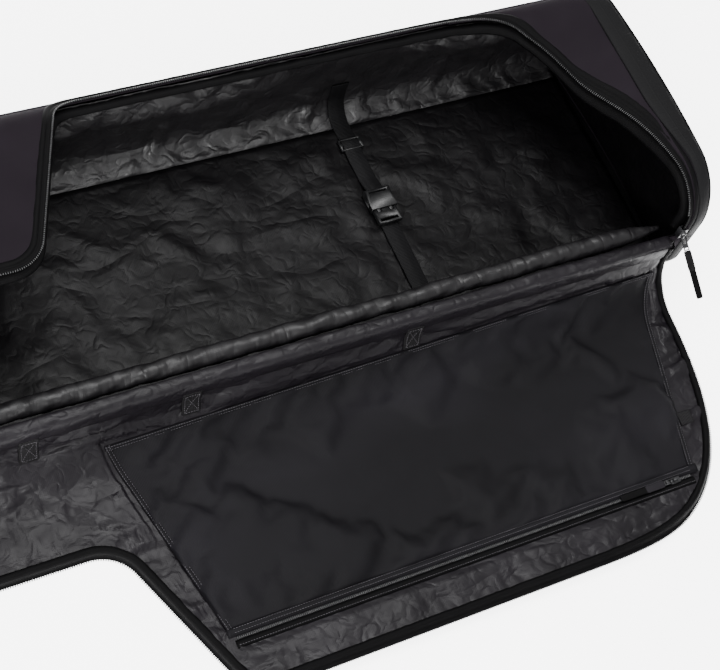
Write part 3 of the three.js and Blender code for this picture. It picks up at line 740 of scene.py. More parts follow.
def padded_panel(name, places, nodes, puff=2.2, moved=None, seed=0.0):
    """Outer fabric over its foam: crowned between its seams, with a few soft waves.
    moved takes its points to where they lie in the open bag."""
    border = border_distance(on_shell(places, 0)[0])
    waves = wander(places, (260, 70), seed) * 1.1 + wander(places, (60, 38), seed + 5) * 0.35
    crown = puff * (1 - np.exp(-border / CROWN_REACH))
    tuck = TUCK * np.exp(-border / TUCK_REACH)
    depth = tuck - crown - waves * (1 - np.exp(-border / WAVE_REACH))
    front, back = (on_shell(places, at)[0] for at in (depth, PANEL_BACK))
    if moved:
        front, back = moved(front), moved(back)
    obj = closed_sheet(name, front, back, places)
    dress(obj, "shell_fabric", "lid" if moved is opened else "bag_body", *nodes)


def outer_panels():
    span = (-SHELL_END, SHELL_END)
    padded_panel("front_wall_panel", rectangle(*span, *FRONT_WALL, 9),
                 ("front_wall_outer", "front_wall_foam"), seed=1.0)
    padded_panel("back_wall_panel", rectangle(*span, BACK_EDGE, FLOOR_START - SEAM_GAP, 9),
                 ("back_wall_outer", "back_wall_foam"), seed=2.0)
    padded_panel("floor_panel", rectangle(*span, FLOOR_START, FLOOR_END, 12),
                 ("floor_outer", "floor_foam"), puff=0.4, seed=3.0)
    padded_panel("right_top", top_places(1, 46), ("right_top_panel",), moved=slackened, seed=4.0)
    padded_panel("left_top", top_places(-1, 46), ("left_top_panel",), seed=5.0)
    padded_panel("lid_panel", lid_places(EDGE_SETBACK, 60), ("lid_outer", "lid_foam"),
                 puff=0.8, moved=opened, seed=6.0)


outer_panels()


# ---- Linings ----
LINING_THICK = 0.7


def lining(part, places, growth, start, pinned=False, moved=None, look="lining",
           rise=9.0, hang=0.0):
    """The lining of one part of the shell, over its foam where it has some. growth is the share its
    cloth grows by, and hang is how far in from its place the cloth stands before it wrinkles."""
    grid, inward = on_shell(places, LINING_DEPTH + hang)
    shape = crumpled(grid, inward, start, pinned | border_pins(grid), growth, rise=rise)
    if moved:
        shape = moved(shape)
    if part == "lid":
        inward = inward * LID_TURN
    obj = thin_sheet(f"{part}_liner", shape, inward, LINING_THICK, places)
    dress(obj, look, "lid" if part == "lid" else "bag_body", f"{part}_lining")


def grown_ripples(places, seed, size=(55, 30), height=1.0):
    return wander(places, size, seed) * height + wander(places, (16, 12), seed + 3) * 0.3 * height


def wall_hang(places):
    """The back wall's lining sags from the top, over a lap along the wall that wanders a little."""
    from_foot, lap, sag = 20, 8.0, 15.0
    lap_s = RUNS[4][0] + from_foot + 6 * wander(places[..., :1] * np.array([1, 0]), (240, 240), 15.0)
    under = places[..., 1] - lap_s
    lapped = np.where(under < 0, np.exp(-(under / 15) ** 2), np.exp(-(under / 2.5) ** 2))
    down = np.clip((places[..., 1] - BACK_EDGE) / (lap_s + from_foot - BACK_EDGE), 0, 1)
    free = beside_straps(places, 60.0, 0.0) / 60.0
    return free * (lapped * lap + sag * np.sin(math.pi * down) ** 1.3)


def body_linings():
    span = (-SHELL_END + 2, SHELL_END - 2)
    back = rectangle(*span, BACK_EDGE + 1, FLOOR_START - SEAM_GAP, 7)
    ripples = grown_ripples(back, 11.0, (70, 34), 1.3)
    lining("back_wall", back, 0.045, ripples,
           rise=beside_straps(back, 9.0), hang=wall_hang(back), look="wall_lining_painted_light")
    front = rectangle(*span, *FRONT_WALL, 7)
    lining("front_wall", front, 0.03, grown_ripples(front, 12.0),
           rise=beside_straps(front, 6.0))
    floor = rectangle(*span, FLOOR_START, FLOOR_END, 8)
    lining("floor", floor, 0.008,
           grown_ripples(floor, 13.0, (120, 60), 0.3), rise=beside_straps(floor, 2.6))
    for name, side in (("right", 1), ("left", -1)):
        places = top_places(side, 42)
        wide = float(np.ptp(places[..., 0])) * MM
        tall = grid_area(on_shell(places, LINING_DEPTH)[0]) / wide
        lining(f"{name}_top", places, 0.03, grown_ripples(places, 14.0 + side),
               moved=slackened if side > 0 else None, rise=7.0)


def beside_straps(places, rise, least=1.0):
    """The lining lies low under the straps, and its wrinkles rise away from them."""
    away = np.abs(np.abs(places[..., 0]) - STRAP_X) - STRAP_WIDTH / 2 - 3
    return np.minimum(rise, least + np.clip(away, 0, None) * 0.3)


def grid_area(grid):
    """Area of a grid of points, in square metres."""
    across = np.diff(grid, axis=0)[:, :-1]
    up = np.diff(grid, axis=1)[:-1]
    return float(np.linalg.norm(np.cross(across, up), axis=2).sum()) * MM * MM


def from_outline(places):
    """Distance from each place to the nearest free edge of its grid."""
    outline = np.concatenate([places[0], places[:, -1], places[-1]])
    return np.linalg.norm(places[:, :, None] - outline, axis=3).min(axis=2)


HINGE_HELD, EDGE_HELD = 24, 4


def lid_lining():
    """The puckers run in from the binding, and fade towards the middle of the lid."""
    places = lid_places(EDGE_SETBACK + 1, 72)
    grid, _ = on_shell(places, LINING_DEPTH)
    along = np.broadcast_to(EDGE.along[1:-1, None], places.shape[:2])
    to_edge = np.abs(places[:, -1:, 1] - places[..., 1])
    inside = np.stack([along, to_edge * 0.25], axis=2)
    puckers = wander(inside, (17, 17), 21.0) * 1.8 * np.exp(-to_edge / 45)
    folds = wander(places, (120, 26), 22.0) * 1.5
    off_patch = from_patch(places)
    start = (puckers + folds) * np.clip(off_patch / 8, 0, 1)
    rise = np.minimum(np.where(under_net(places), 1.5, 6.5), 0.5 + off_patch * 0.22)
    from_seams = np.minimum(places[..., 1] - HINGE_HELD, from_outline(places) - EDGE_HELD)
    rise = np.minimum(rise, 0.7 + np.clip(from_seams, 0, None) * 0.3)
    lining("lid", places, 0.045, start, pinned=off_patch == 0,
           moved=opened, look="lid_lining", rise=rise)


def pocket_side(side, share):
    """The pocket's left or right edge along X, at this share of the way from its top to its zip."""
    return POCKET[f"top_{side}"] + (POCKET[f"bottom_{side}"] - POCKET[f"top_{side}"]) * share


def pocket_top(x):
    share = (x - POCKET["top_left"]) / (POCKET["top_right"] - POCKET["top_left"])
    return POCKET_TOP_LEFT_S + (POCKET_TOP_RIGHT_S - POCKET_TOP_LEFT_S) * share


def under_net(places):
    """Where the pocket's netting or its zip lies over the lid's lining."""
    x, s = places[..., 0], places[..., 1]
    margin, zip_width = 6, 16
    top = pocket_top(x)
    share = np.clip((s - top) / (POCKET_ZIP_S - top), 0, 1)
    inside = (x > pocket_side("left", share) - margin) & (x < pocket_side("right", share) + margin)
    return inside & (s > top - margin) & (s < POCKET_ZIP_S + zip_width)


def from_patch(places):
    """How far each place is outside the nearest sewn patch, and 0 on it."""
    nearest, margin, s = np.full(places.shape[:2], 1000.0), 2, places[..., 1]
    for x in PATCH_X.values():
        beside = np.maximum(np.abs(places[..., 0] - x) - PATCH_WIDTH / 2 - margin, 0)
        beyond = np.maximum(np.maximum(PATCH_FROM - margin - s, s - PATCH_TO - margin), 0)
        nearest = np.minimum(nearest, np.hypot(beside, beyond))
    return nearest


body_linings()
lid_lining()


# ---- Ends ----
BAND_FRONT, BAND_SIDE, BAND_OUTER = 814, 800, 829
BAND_UNDERSIDE = -1.4
END_BULGE = 11


def ring_round_section(name, rings, around, across):
    """Loops of points round the section, joined into one closed ring."""
    grid = np.stack(rings, axis=1)
    faces = grid_faces(*grid.shape[:2], around=True, along=True)
    return build_mesh(name, grid, faces, cloth_uv(around, across))


def end_bulge(y):
    """The ends are fuller in the middle of the bag's width than at its sides."""
    return END_BULGE * (1 - (np.asarray(y, float) / HALF_WIDTH) ** 2)


def end_disc(name, side, x, crown, depth, node, look, thick):
    """A closed disc across the section, at x and fuller by its crown in the middle."""
    around = evenly_round(GIRTH, 180)
    rim, _ = shell(0, around, depth)
    middle = rim.mean(axis=0)
    share = np.linspace(0, 1, 26)[1:]
    front = middle + (rim[None] - middle) * share[:, None, None]
    uneven = wander(front[..., 1:], (70, 45), 31.0 + side)
    domed = x + crown * (1 - share ** 3)
    front[..., 0] = side * (domed[:, None] + uneven * 1.2 * (1 - share[:, None] ** 4)
                            + end_bulge(front[..., 1]))
    back = front.copy()
    back[..., 0] = front[..., 0] - side * thick
    rings, count = len(share), len(around)
    faces = grid_faces(rings, count, around=True) + grid_faces(rings, count, rings * count, around=True)
    last = (rings - 1) * count
    for j in range(count):
        k = (j + 1) % count
        faces.append((last + j, last + k, rings * count + last + k, rings * count + last + j))
    points = np.concatenate([front.reshape(-1, 3), back.reshape(-1, 3)])
    hubs = [front[0].mean(axis=0), back[0].mean(axis=0)]
    for face, start in enumerate((0, rings * count)):
        hub = len(points) + face
        faces += [(hub, start + (j + 1) % count, start + j) for j in range(count)]
    points = np.concatenate([points, hubs])
    obj = build_mesh(name, points, faces, points[:, 1:])
    return dress(obj, look, "bag_body", node)


def band_seam(s):
    from_hinge = np.minimum(s, GIRTH - s)
    return BAND_FRONT + (BAND_SIDE - BAND_FRONT) * smooth_step((from_hinge - 110) / 130)


def end_band(end, side):
    """A strip sewn round the end: a seam on its inner edge, and turned over at the end."""
    around = evenly_round(GIRTH, 400)
    seam = band_seam(around)
    profile = [(0, 0.8), (0.03, -0.9), (0.12, -1.9), (0.5, -2.6), (0.85, -2.2), (0.97, -1.2),
               (1, 0.6), (0.97, 2.2), (0.5, 0.6), (0.05, 1.6)]
    rings = []
    for share, depth in profile:
        waves = wander(np.column_stack([around, np.full_like(around, share * 30)]), (40, 20), 41.0) * 0.7
        deep = depth - np.maximum(waves, -0.6) * (depth < 0)
        ring, _ = shell(0, around, deep)
        ring[:, 0] = side * (seam + (BAND_OUTER + end_bulge(ring[:, 1]) - seam) * share)
        ring[:, 2] = np.maximum(ring[:, 2], BAND_UNDERSIDE)
        rings.append(ring)
    obj = ring_round_section(f"{end}_end_strip", rings, around, np.arange(len(rings)) * 4.0)
    dress(obj, "end_band", "bag_body", f"{end}_end_band")


def end_piping(end, side):
    """A cord of piping round the whole section."""
    x, depth, radius = 829.2, 0.2, 1.8
    around = evenly_round(GIRTH, 360)
    angle = evenly_round(2 * math.pi, 10)
    rings = []
    for a in angle:
        ring, _ = shell(side * (x + radius * math.cos(a)), around, depth + radius * math.sin(a))
        ring[:, 0] += side * end_bulge(ring[:, 1])
        rings.append(ring)
    dress(ring_round_section(f"{end}_end_piping", rings, around, angle * radius), "binding", "bag_body")


def ends():
    for end, side in (("right", 1), ("left", -1)):
        cap = end_disc(f"{end}_end_cap", side, 829, 3.5, 0.8, f"{end}_end_panel", "shell_fabric", 5.5)
        liner = end_disc(f"{end}_end_liner", side, 820.6, -3, 8.8, f"{end}_end_lining", "lining", -0.7)
        end_band(end, side)
        end_piping(end, side)


ends()


# ---- Strips along the opening's edge ----
def edge_strip(name, node, body, corners, count, ripple=0.0, thick=0.8, seed=0.0,
               lowest=LOWEST, pleat=14.0):
    """corners are (offset, depth) over the strip's width."""
    profile = smooth_profile(corners, count)
    rows = []
    for offset, depth in profile:
        samples = np.column_stack([EDGE.along, np.full(len(EDGE.along), offset * 0.6)])
        uneven = wander(samples, (pleat, 26), seed) * ripple
        rows.append(on_shell(EDGE.offset(offset, lowest), depth + uneven)[0])
    grid = np.stack(rows, axis=1)
    grid = opened(grid) if body == "lid" else slackened(grid)
    facing = unit(np.cross(np.gradient(grid, axis=0), np.gradient(grid, axis=1)))
    uv = cloth_uv(EDGE.along, distance_along(profile))
    obj = closed_sheet(name, grid, grid + facing * thick, uv)
    dress(obj, "binding", body, node)


def smooth_profile(corners, count):
    """Points evenly spaced along a smooth line through the corners."""
    corners = np.asarray(corners, float)
    lengths = distance_along(corners)
    dense = np.linspace(0, lengths[-1], 120)
    line = np.column_stack([np.interp(dense, lengths, column) for column in corners.T])
    for _ in range(4):
        line[1:-1] = (line[:-2] + 2 * line[1:-1] + line[2:]) / 4
    return resample(line, lengths[-1] / (count - 1))[0]


def zip_teeth(name, node, body, offset, start_at):
    """Single coil loops: each is a short lug lying across the edge. The lid's stand between the body's."""
    keep = FINE_EDGE.places[:, 1] >= start_at
    places = FINE_EDGE.offset(offset)[keep]
    run = np.gradient(FINE_EDGE.places, axis=0)[keep]
    if body == "lid":
        places = places + run / 2
    run = unit(run)
    side = FINE_EDGE.normal[keep]
    corner = [(-1, -0.6), (-1, 0.6), (1, 0.6), (1, -0.6)]
    layers = [(0.45, 1.1), (1.0, 0.5), (1.0, -0.5), (0.45, -1.1)]
    depth, across, along = 0.5, 1.2, 1.05
    rings = []
    for spread, height in layers:
        for a, b in corner:
            shifted = places + side * (a * across * spread) + run * (b * along * spread)
            rings.append(on_shell(shifted, depth + height)[0])
    points = np.stack(rings, axis=1)
    points = opened(points) if body == "lid" else slackened(points)
    faces = []
    tall = len(corner)
    for tooth in range(len(points)):
        base = tooth * tall * len(layers)
        faces += grid_faces(len(layers), tall, base, around=True)
        faces.append(tuple(base + j for j in range(tall)))
        faces.append(tuple(base + (len(layers) - 1) * tall + j for j in range(tall)))
    obj = build_mesh(name, points, faces, points[..., :2])
    dress(obj, "zip_coil", body, node)


def opening_edges():
    rim = [(16, 1.6), (15, -0.6), (12, -2.0), (9, -1.6), (7.4, 0.4), (6.4, 0.2), (4, -0.2), (2.0, 0.3)]
    edge_strip("rim_binding", "body_zip_tape", "bag_body", rim, 14, ripple=0.25, seed=51.0)
    zip_teeth("rim_zip_coil", "body_zip_coil", "bag_body", 1.0, 50)
    flap = [(13, 9.0), (6, 10.2), (1, 12), (-1.5, 15), (-2.5, 19)]
    edge_strip("draft_flap", "zip_draft_flap", "bag_body", flap, 9, ripple=1.0, seed=52.0,
               lowest=6, pleat=45.0)
    binding = [(-15, 7.4), (-13.6, 9.8), (-11, 10.6), (-8, 10.2), (-6, 7.6), (-5.4, 4), (-4, 1.5),
               (-2.2, 0.7)]
    edge_strip("lid_binding", "lid_edge_binding", "lid", binding, 16, ripple=0.9, seed=53.0,
               thick=-0.8, pleat=9.0)
    tape = [(-14, -0.5), (-9, -0.7), (-4, -0.3), (-2.0, 0.1)]
    edge_strip("lid_zip_cloth", "lid_zip_tape", "lid", tape, 8)
    zip_teeth("lid_zip_teeth", "lid_zip_coil", "lid", -1.0, 24)


opening_edges()


# ---- Front roll and hinge fold ----
def front_roll():
    """A padded roll in loose tarpaulin, pinched into short folds by its lengthwise seam."""
    radius, end = 13.5, LID_END - 10
    middle_y = -HALF_WIDTH + LINING_DEPTH + 4.5 + radius
    middle_z = HINGE_HEIGHT - radius + 6
    line_x = even(-end, end, 4.5)
    x, turn = np.meshgrid(line_x, evenly_round(2 * math.pi, 36), indexing="ij")
    around = np.stack([x, turn * radius], axis=2)
    steep = np.stack([x + turn * 22, turn * radius * 0.8], axis=2)
    shallow = np.stack([x - turn * 9, turn * radius * 0.8], axis=2)
    creases = 2 - np.abs(wander(steep, (30, 70), 61.0)) * 2 - np.abs(wander(shallow, (19, 50), 65.0)) * 2
    folds = creases * 0.9 + wander(around, (80, 40), 62.0) * 1.6 - 1.0
    taper = smooth_step((end - np.abs(x)) / 75) ** 0.6
    size = (radius - 1.2 + folds) * (0.25 + 0.75 * taper)
    ring = np.stack([x, middle_y + size * np.cos(turn), middle_z + size * np.sin(turn)], axis=2)
    line = np.column_stack([line_x, np.full_like(line_x, middle_y), np.full_like(line_x, middle_z)])
    obj = tube("front_roll", line, ring)
    dress(obj, "roll", "bag_body", "front_edge_roll")


def hinge_fold():
    """The lining cloth that bridges from the front wall to the lid."""
    profile = smooth_profile([(-181.3, 78), (-181.3, 90), (-182.5, 96), (-187, 98), (-193, 97.8),
                              (-198.5, 95.6), (-201, 90), (-201.2, 80), (-201.2, 72)], 20)
    line_x = even(-LID_END + 4, LID_END - 10, 5)
    x, k = np.meshgrid(line_x, np.arange(len(profile)), indexing="ij")
    places = np.stack([x, profile[k, 0] * 3], axis=2)
    uneven = wander(places, (60, 40), 63.0) * 1.3 + wander(places, (15, 30), 64.0) * 0.6
    grid = np.stack([x, profile[k, 0], profile[k, 1] + uneven], axis=2)
    across = distance_along(profile)
    outwards = (grid - np.array([0, HINGE_Y, 84])) * np.array([0, 1, 1])
    obj = thin_sheet("hinge_cloth", grid, outwards, LINING_THICK, cloth_uv(line_x, across))
    dress(obj, "lid_lining", None, "hinge_tape")
    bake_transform(obj)


front_roll()
hinge_fold()


# ---- Stitching ----
STITCH_PITCH, STITCH_LONG, STITCH_THICK, STITCH_LIFT = 3.4, 2.5, 0.34, 0.15


def stitch_points(line, facing):
    """Spindle-shaped stitches along a line of points in millimetres."""
    along = distance_along(line)
    middles = np.arange(STITCH_PITCH / 2, along[-1], STITCH_PITCH)

    def picked(columns, shift=0.0):
        return np.column_stack([np.interp(middles + shift, along, column) for column in columns.T])

    up = picked(facing)
    run = unit(picked(line, 0.5) - picked(line, -0.5))
    side = unit(np.cross(run, up))
    at = picked(line) + up * STITCH_LIFT
    half, dip = run * STITCH_LONG / 2, up * STITCH_THICK * 0.6
    ends = [at - half - dip]
    for share in (-0.28, 0.28):
        middle = at + run * STITCH_LONG * share
        for a, b in ((1, 0), (0, 1), (-1, 0), (0, -1)):
            ends.append(middle + side * STITCH_THICK * a + up * STITCH_THICK * b)
    ends.append(at + half - dip)
    return np.stack(ends, axis=1)


def stitches(name, lines, body):
    """lines are (points, facing) pairs; all their stitches are one piece."""
    groups = np.concatenate([stitch_points(*line) for line in lines])
    faces = []
    for number in range(len(groups)):
        base = number * 10
        for j in range(4):
            k = (j + 1) % 4
            faces.append((base, base + 1 + k, base + 1 + j))
            faces.append((base + 1 + j, base + 1 + k, base + 5 + k, base + 5 + j))
            faces.append((base + 9, base + 5 + j, base + 5 + k))
    dress(build_mesh(name, groups, faces), "thread", body)


def lid_line(places, depth):
    """A line on the opened lid and the direction away from its lining."""
    points, inward = on_shell(places, depth)
    return opened(points), inward * LID_TURN


def straight(start, end, step=3.0):
    length = math.dist(start, end)
    share = np.linspace(0, 1, max(2, int(length / step)))[:, None]
    return np.asarray(start, float) * (1 - share) + np.asarray(end, float) * share


# ---- Pocket ----
NET_DEPTH = 9.6
POCKET_MIDDLE = np.array([370, 200])


def pocket():
    bottom = POCKET_ZIP_S - 11
    share = np.linspace(0, 1, 49)
    columns = np.linspace(0, 1, 125)[:, None]
    left, right = pocket_side("left", share), pocket_side("right", share)
    x = left[None, :] * (1 - columns) + right[None, :] * columns
    top = pocket_top(x)
    places = np.stack([x, top + (bottom - top) * share[None, :]], axis=2)
    grid, inward = on_shell(places, NET_DEPTH + 0.5)
    slanted = np.stack([places[..., 0] + places[..., 1] * 0.8, places[..., 1] * 0.45], axis=2)
    start = wander(slanted, (90, 55), 71.0) * 3.4 + 1.2
    shape = opened(crumpled(grid, inward, start, border_pins(grid), 0.035, 1.5, rise=9.0, drop=0.4))
    net = thin_sheet("pocket_net", shape, inward * LID_TURN, 0.5, places)
    dress(net, "pocket_mesh", "lid", "pocket_mesh")
    corners = [tuple(places[0, 0]), tuple(places[-1, 0]), tuple(places[-1, -1]), tuple(places[0, -1])]
    hems, lines = [], []
    for number, (a, b) in enumerate([(3, 0), (0, 1), (1, 2)]):
        hems.append(hem(f"pocket_hem_{number + 1}", corners[a], corners[b]))
        for inset in (1.2, 5.4):
            lines.append(lid_line(inset_line(corners[a], corners[b], inset), NET_DEPTH + 2.0))
    stitches("pocket_stitches", lines, "lid")
    pocket_zip()


def inset_line(start, end, inset):
    """A line beside one of the pocket's sides, moved in towards the pocket's middle."""
    start, end = np.asarray(start, float), np.asarray(end, float)
    run = (end - start) / np.linalg.norm(end - start)
    normal = np.array([-run[1], run[0]])
    normal *= np.sign(normal @ (POCKET_MIDDLE - start))
    return straight(start + normal * inset, end + normal * inset)


def hem(name, start, end):
    """A folded edge of the pocket's netting, sewn flat."""
    width, over, depth = 7, 0.6, NET_DEPTH + 0.6
    outer = inset_line(start, end, -over)
    inner = inset_line(start, end, width - over)
    rows = []
    for share, lift in ((0, 0.2), (0.12, 1.0), (0.5, 1.25), (0.88, 1.0), (1, 0.2)):
        places = outer * (1 - share) + inner * share
        uneven = wander(places, (18, 18), 72.0) * 0.25
        rows.append(on_lid(places, depth + lift + uneven))
    length = math.dist(start, end)
    uv = cloth_uv(np.linspace(0, length, len(outer)), np.linspace(0, width, len(rows)))
    obj = thin_sheet(name, np.stack(rows, axis=1), UP, 0.6, uv)
    return dress(obj, "pocket_mesh", "lid")


def strip_beside_zip(name, x0, x1, section, look, seed, nodes=()):
    """A straight strip along the lid; its section is (s, depth) points, with s from the zip's line."""
    x = even(x0, x1, 4)
    rows = []
    for from_zip, depth in section:
        places = np.column_stack([x, np.full_like(x, POCKET_ZIP_S + from_zip)])
        rows.append(on_lid(places, depth + wander(places, (24, 30), seed) * 0.3))
    uv = cloth_uv(x, np.array([POCKET_ZIP_S + from_zip for from_zip, _ in section], float))
    obj = thin_sheet(name, np.stack(rows, axis=1), UP, 0.8, uv)
    dress(obj, look, "lid", *nodes)


def pocket_zip():
    upper = [(-13, 10.0), (-12, 11.4), (-8, 11.6), (-4.6, 11.4), (-4, 10.2), (-2.2, 10.0)]
    strip_beside_zip("pocket_zip_upper", 52, 711, upper, "pocket_mesh", 73.0)
    lower = [(2.2, 10.0), (4, 10.2), (4.6, 11.0), (8, 11.2), (11, 10.6), (12, 9.6)]
    strip_beside_zip("pocket_zip_lower", 58, 700, lower, "binding", 74.0, ("pocket_zip_tape",))
    pocket_zip_teeth()
    lines = [lid_line(straight((60, at), (699, at)), 12.1)
             for at in (POCKET_ZIP_S - 11, POCKET_ZIP_S - 6, POCKET_ZIP_S + 9.2)]
    stitches("pocket_zip_stitches", lines, "lid")


def pocket_zip_teeth():
    """Each tooth is a lug that narrows from its foot to its top."""
    corner = [(-1, -1), (1, -1), (1, 1), (-1, 1)]
    layers = [(0.8, 2.1, 9.9), (0.5, 1.5, 11.2)]
    points = np.array([(x + a * along, POCKET_ZIP_S + b * across, depth)
                       for x in np.arange(62, 698, 2.4)
                       for along, across, depth in layers for a, b in corner])
    solid = on_lid(points, points[:, 2])
    faces = []
    for base in range(0, len(points), 8):
        faces.append(tuple(range(base, base + 4)))
        faces.append(tuple(range(base + 4, base + 8)))
        for j in range(4):
            k = (j + 1) % 4
            faces.append((base + j, base + k, base + k + 4, base + j + 4))
    obj = build_mesh("pocket_zip_teeth", solid, faces, solid[:, :2])
    dress(obj, "zip_coil", "lid", "pocket_zip_coil")


pocket()


# ---- Sewn patches, tag and handles ----
TAPE_THICK = 1.2


def patches():
    """Folded webbing ends sewn down with a box and a cross, puckering the lining round them."""
    for name, x in PATCH_X.items():
        half = PATCH_WIDTH / 2
        places = rectangle(x - half, x + half, PATCH_FROM, PATCH_TO, 1.5)
        border = border_distance(on_shell(places, 0)[0])
        crown = 1.5 * (1 - np.exp(-border / 1.6)) - 0.7 * np.exp(-((border - 3.2) / 1.1) ** 2)
        uneven = wander(places, (7, 7), 81.0) * 0.45
        grid = on_lid(places, 9.2 + crown + uneven)
        piece = thin_sheet(f"patch_{name}", grid, UP, TAPE_THICK, places[..., ::-1])
        dress(piece, "patch", "lid", f"lid_patch_{name}")
        left, right, near, far = x - half + 3.2, x + half - 3.2, PATCH_FROM + 3.4, PATCH_TO - 3.4
        box = [(left, near), (right, near), (right, far), (left, far)]
        runs = [*zip(box, box[1:] + box[:1]), (box[0], box[2]), (box[1], box[3])]
        lines = [lid_line(straight(a, b, 1.5), 10.9) for a, b in runs]
        stitches(f"patch_{name}_stitches", lines, "lid")


def pocket_tag():
    """A small folded loop of tape beside the pocket."""
    left, right, near, far = 722, 742, 268, 286
    places = rectangle(left, right, near, far, 1.5)
    lift = 2.6 - 1.6 * ((places[..., 1] - near) / (far - near)) ** 2
    obj = thin_sheet("tag_loop", on_lid(places, 9.4 + lift), UP, TAPE_THICK, places)
    dress(obj, "patch", "lid", "pocket_tag")


def carry_handle():
    """Padded webbing along the outside of the lid, sewn down at both ends."""
    x0, x1, s0, s1 = PATCH_X["left"] - 11, PATCH_X["middle"] + 11, 44, 82
    places = rectangle(x0, x1, s0, s1, 3)
    share = (places[..., 0] - x0) / (x1 - x0)
    border = border_distance(on_shell(places, 0)[0])
    rise = 1.4 * np.clip(np.minimum(share, 1 - share) / 0.16, 0, 1)
    front = on_lid(places, -1.6 - rise - 1.2 * (1 - np.exp(-border / 3)))
    obj = closed_sheet("carry_webbing", front, on_lid(places, -0.8 - rise), places)
    dress(obj, "webbing", "lid", "carry_handle")


def grab_handle():
    """Webbing bowed out from the right end, with its two feet sewn to the end panel."""
    face, width, half, reach = 829.6 + float(end_bulge(77)) + 2.0, 30, 89, 14
    y = even(-half, half, 3)
    rise = reach * np.clip(1 - (np.abs(y) / 66) ** 2.2, 0, None) ** 0.8
    z = even(-width / 2, width / 2, 2.5)
    curl = 1.2 * (1 - (z / (width / 2)) ** 2)
    x = face + 2.6 + rise[:, None] + curl[None, :] * 0.5
    grid = np.stack(np.broadcast_arrays(x, y[:, None], HEIGHT / 2 + z[None, :]), axis=2)
    obj = thin_sheet("grab_webbing", grid, np.array([1.0, 0, 0]), 2.2, cloth_uv(y, z))
    dress(obj, "webbing", "bag_body", "end_grab_handle")
    lines = []
    for side in (-1, 1):
        corners = [(side * 68, -11), (side * 85, -11), (side * 85, 11), (side * 68, 11)]
        for a, b in zip(corners, corners[1:] + corners[:1]):
            line = straight(a, b, 2)
            points = np.column_stack([np.full(len(line), face + 3.4), line[:, 0], HEIGHT / 2 + line[:, 1]])
            lines.append((points, np.tile([1.0, 0, 0], (len(line), 1))))
    stitches("grab_stitches", lines, "bag_body")


patches()
pocket_tag()
carry_handle()
grab_handle()


# ---- Straps ----
def webbing_strip(name, node, corners, x):
    """corners are (y, z) points along the strip's top side; its width is along X."""
    count = int(distance_along(np.asarray(corners, float))[-1] / 2.5)
    line = smooth_profile(corners, count)[::-1]
    run = unit(np.gradient(line, axis=0))
    up = np.column_stack([-run[:, 1], run[:, 0]])
    half, thick = STRAP_WIDTH / 2, 1.5
    ring = [(-half + 0.5, 0), (half - 0.5, 0), (half, -0.35), (half, 0.35 - thick),
            (half - 0.5, -thick), (0.5 - half, -thick), (-half, 0.35 - thick), (-half, -0.35)]
    sections = np.array([[(x + a, *(point + normal * b)) for a, b in ring]
                         for point, normal in zip(line, up)])
    middle = np.column_stack([np.full(len(line), x), line])
    dress(tube(name, middle, sections), "webbing", "bag_body", node)


def straps():
    for side, x in (("right", STRAP_X), ("left", -STRAP_X)):
        wall = shell(0, np.linspace(FLOOR_BACK_ARC - 26, FLOOR_START, 9), 10.2)[0][:, 1:]
        far = np.concatenate([wall, [(140, 10.3), (129, 11.0), (123, 14.4), (118, 14.9), (113, 14.4),
                                     (107, 11.2), (96, 10.4), (60, 11.4), (40, 16.6), (31, 17.8)]])
        webbing_strip(f"{side}_far_webbing", f"{side}_strap_far", far, x)
        front = shell(0, np.linspace(FLOOR_END, GIRTH - HINGE_HEIGHT + FLOOR_RADIUS + 26, 9), 10.2)[0][:, 1:]
        near = np.concatenate([[(-10, 10.5), (-40, 10.5), (-90, 11.2), (-130, 10.5)], front])
        webbing_strip(f"{side}_near_webbing", f"{side}_strap_near", near, x)


straps()


# ---- Hard parts: the CAD solids with their edges rounded ----
def softened(node, look, radius, body):
    """A copy of a CAD solid with rounded edges, which stands for it."""
    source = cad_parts[node]
    mesh = source.data.copy()
    mesh.name = node + "_shape"
    work = bmesh.new()
    work.from_mesh(mesh)
    bmesh.ops.remove_doubles(work, verts=work.verts, dist=1e-6)
    bmesh.ops.dissolve_limit(work, angle_limit=math.radians(2), verts=work.verts, edges=work.edges)
    work.to_mesh(mesh)
    work.free()
    obj = add_object(node + "_shape", mesh)
    bevel = obj.modifiers.new("rounded", "BEVEL")
    bevel.width = radius * MM
    bevel.segments = 2
    bevel.limit_method = "ANGLE"
    bevel.angle_limit = math.radians(35)
    bevel.harden_normals = True
    final = bpy.data.meshes.new_from_object(obj.evaluated_get(bpy.context.evaluated_depsgraph_get()))
    obj.modifiers.clear()
    obj.data = final
    shade_smooth(final)
    return dress(obj, look, body, node)


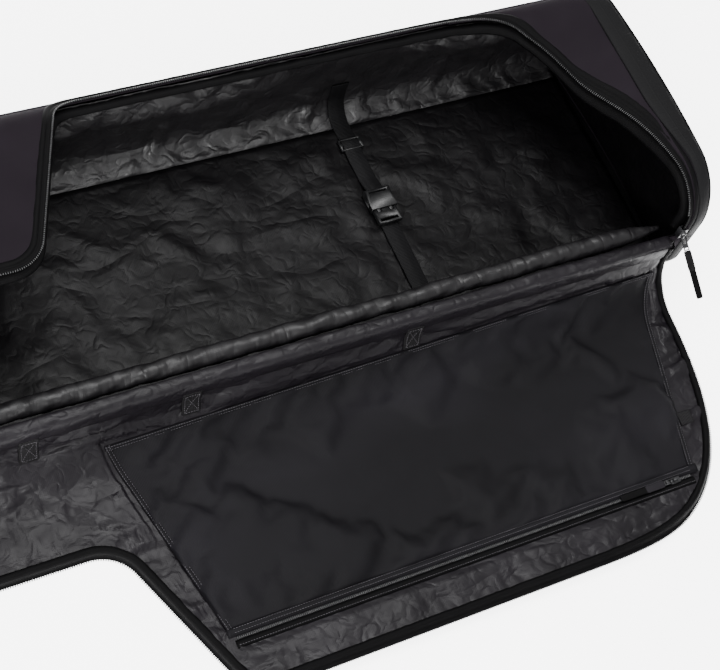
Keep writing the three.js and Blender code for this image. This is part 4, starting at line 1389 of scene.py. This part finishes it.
def hard_parts():
    for side in ("right", "left"):
        softened(f"{side}_buckle_socket", "buckle_plastic", 0.5, "bag_body")
        for part in ("buckle_plug", "buckle_prong_a", "buckle_prong_b", "strap_adjuster"):
            softened(f"{side}_{part}", "buckle_plastic", 0.5, f"{side}_{part.split('_', 1)[1]}")
    for opening in ("main", "pocket"):
        softened(f"{opening}_slider", "slider_metal", 0.35, f"{opening}_slider")
        softened(f"{opening}_slider_tab", "slider_metal", 0.25, f"{opening}_pull")


hard_parts()


# ---- Cloth pulls ----
PULL_LENGTH, PULL_DROOP = 66, math.radians(25)
MAIN_PULL_PIVOT, MAIN_STRAP_START, POCKET_STRAP_START = (805.4, -194.1, 105), 20.4, 18.4


def cloth_pull(name, pivot, run, up, start, width, thick, sleeve):
    """A ribbon with a sleeve over its near half and a black end. Its pivot is in the row frame."""
    pivot = (np.asarray(pivot) - SHIFT) / MM
    run, up = np.asarray(run, float), np.asarray(up, float)
    side = np.cross(up, run)
    angle = evenly_round(2 * math.pi, 16)
    rounded = np.sign(np.cos(angle)) * np.abs(np.cos(angle)) ** 0.5
    flat = np.sign(np.sin(angle)) * np.abs(np.sin(angle)) ** 0.6
    for part, look, near, far, wide, deep in (
        ("sleeve", sleeve, 0.0, 0.42, width, thick),
        ("tail", "binding", 0.36, 1.0, width - 1, thick - 0.8),
    ):
        steps = np.linspace(start + near * PULL_LENGTH, start + far * PULL_LENGTH, 22)
        rings, line = [], []
        for number, at in enumerate(steps):
            end = min(number, len(steps) - 1 - number)
            pinch = (0.8, 0.95, 1.0)[min(end, 2)]
            middle = pivot + run * at
            line.append(middle)
            rings.append([middle + side * (a * wide / 2 * pinch) + up * (b * deep / 2 * pinch)
                          for a, b in zip(rounded, flat)])
        dress(tube(f"{name}_{part}", np.array(line), np.array(rings)), look, name)
    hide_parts(f"{name}_strap")


def pulls():
    down, out = math.sin(PULL_DROOP), math.cos(PULL_DROOP)
    cloth_pull("main_pull", row(MAIN_PULL_PIVOT), (0, -out, -down), (0, -down, out),
               MAIN_STRAP_START, 11, 3, "webbing")
    low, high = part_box("pocket_pull_strap")
    pivot = (high.x + POCKET_STRAP_START * MM, (low.y + high.y) / 2, (low.z + high.z) / 2)
    cloth_pull("pocket_pull", pivot, (-1, 0, 0), UP, POCKET_STRAP_START, 10, 2.4, "pull_fabric")


pulls()
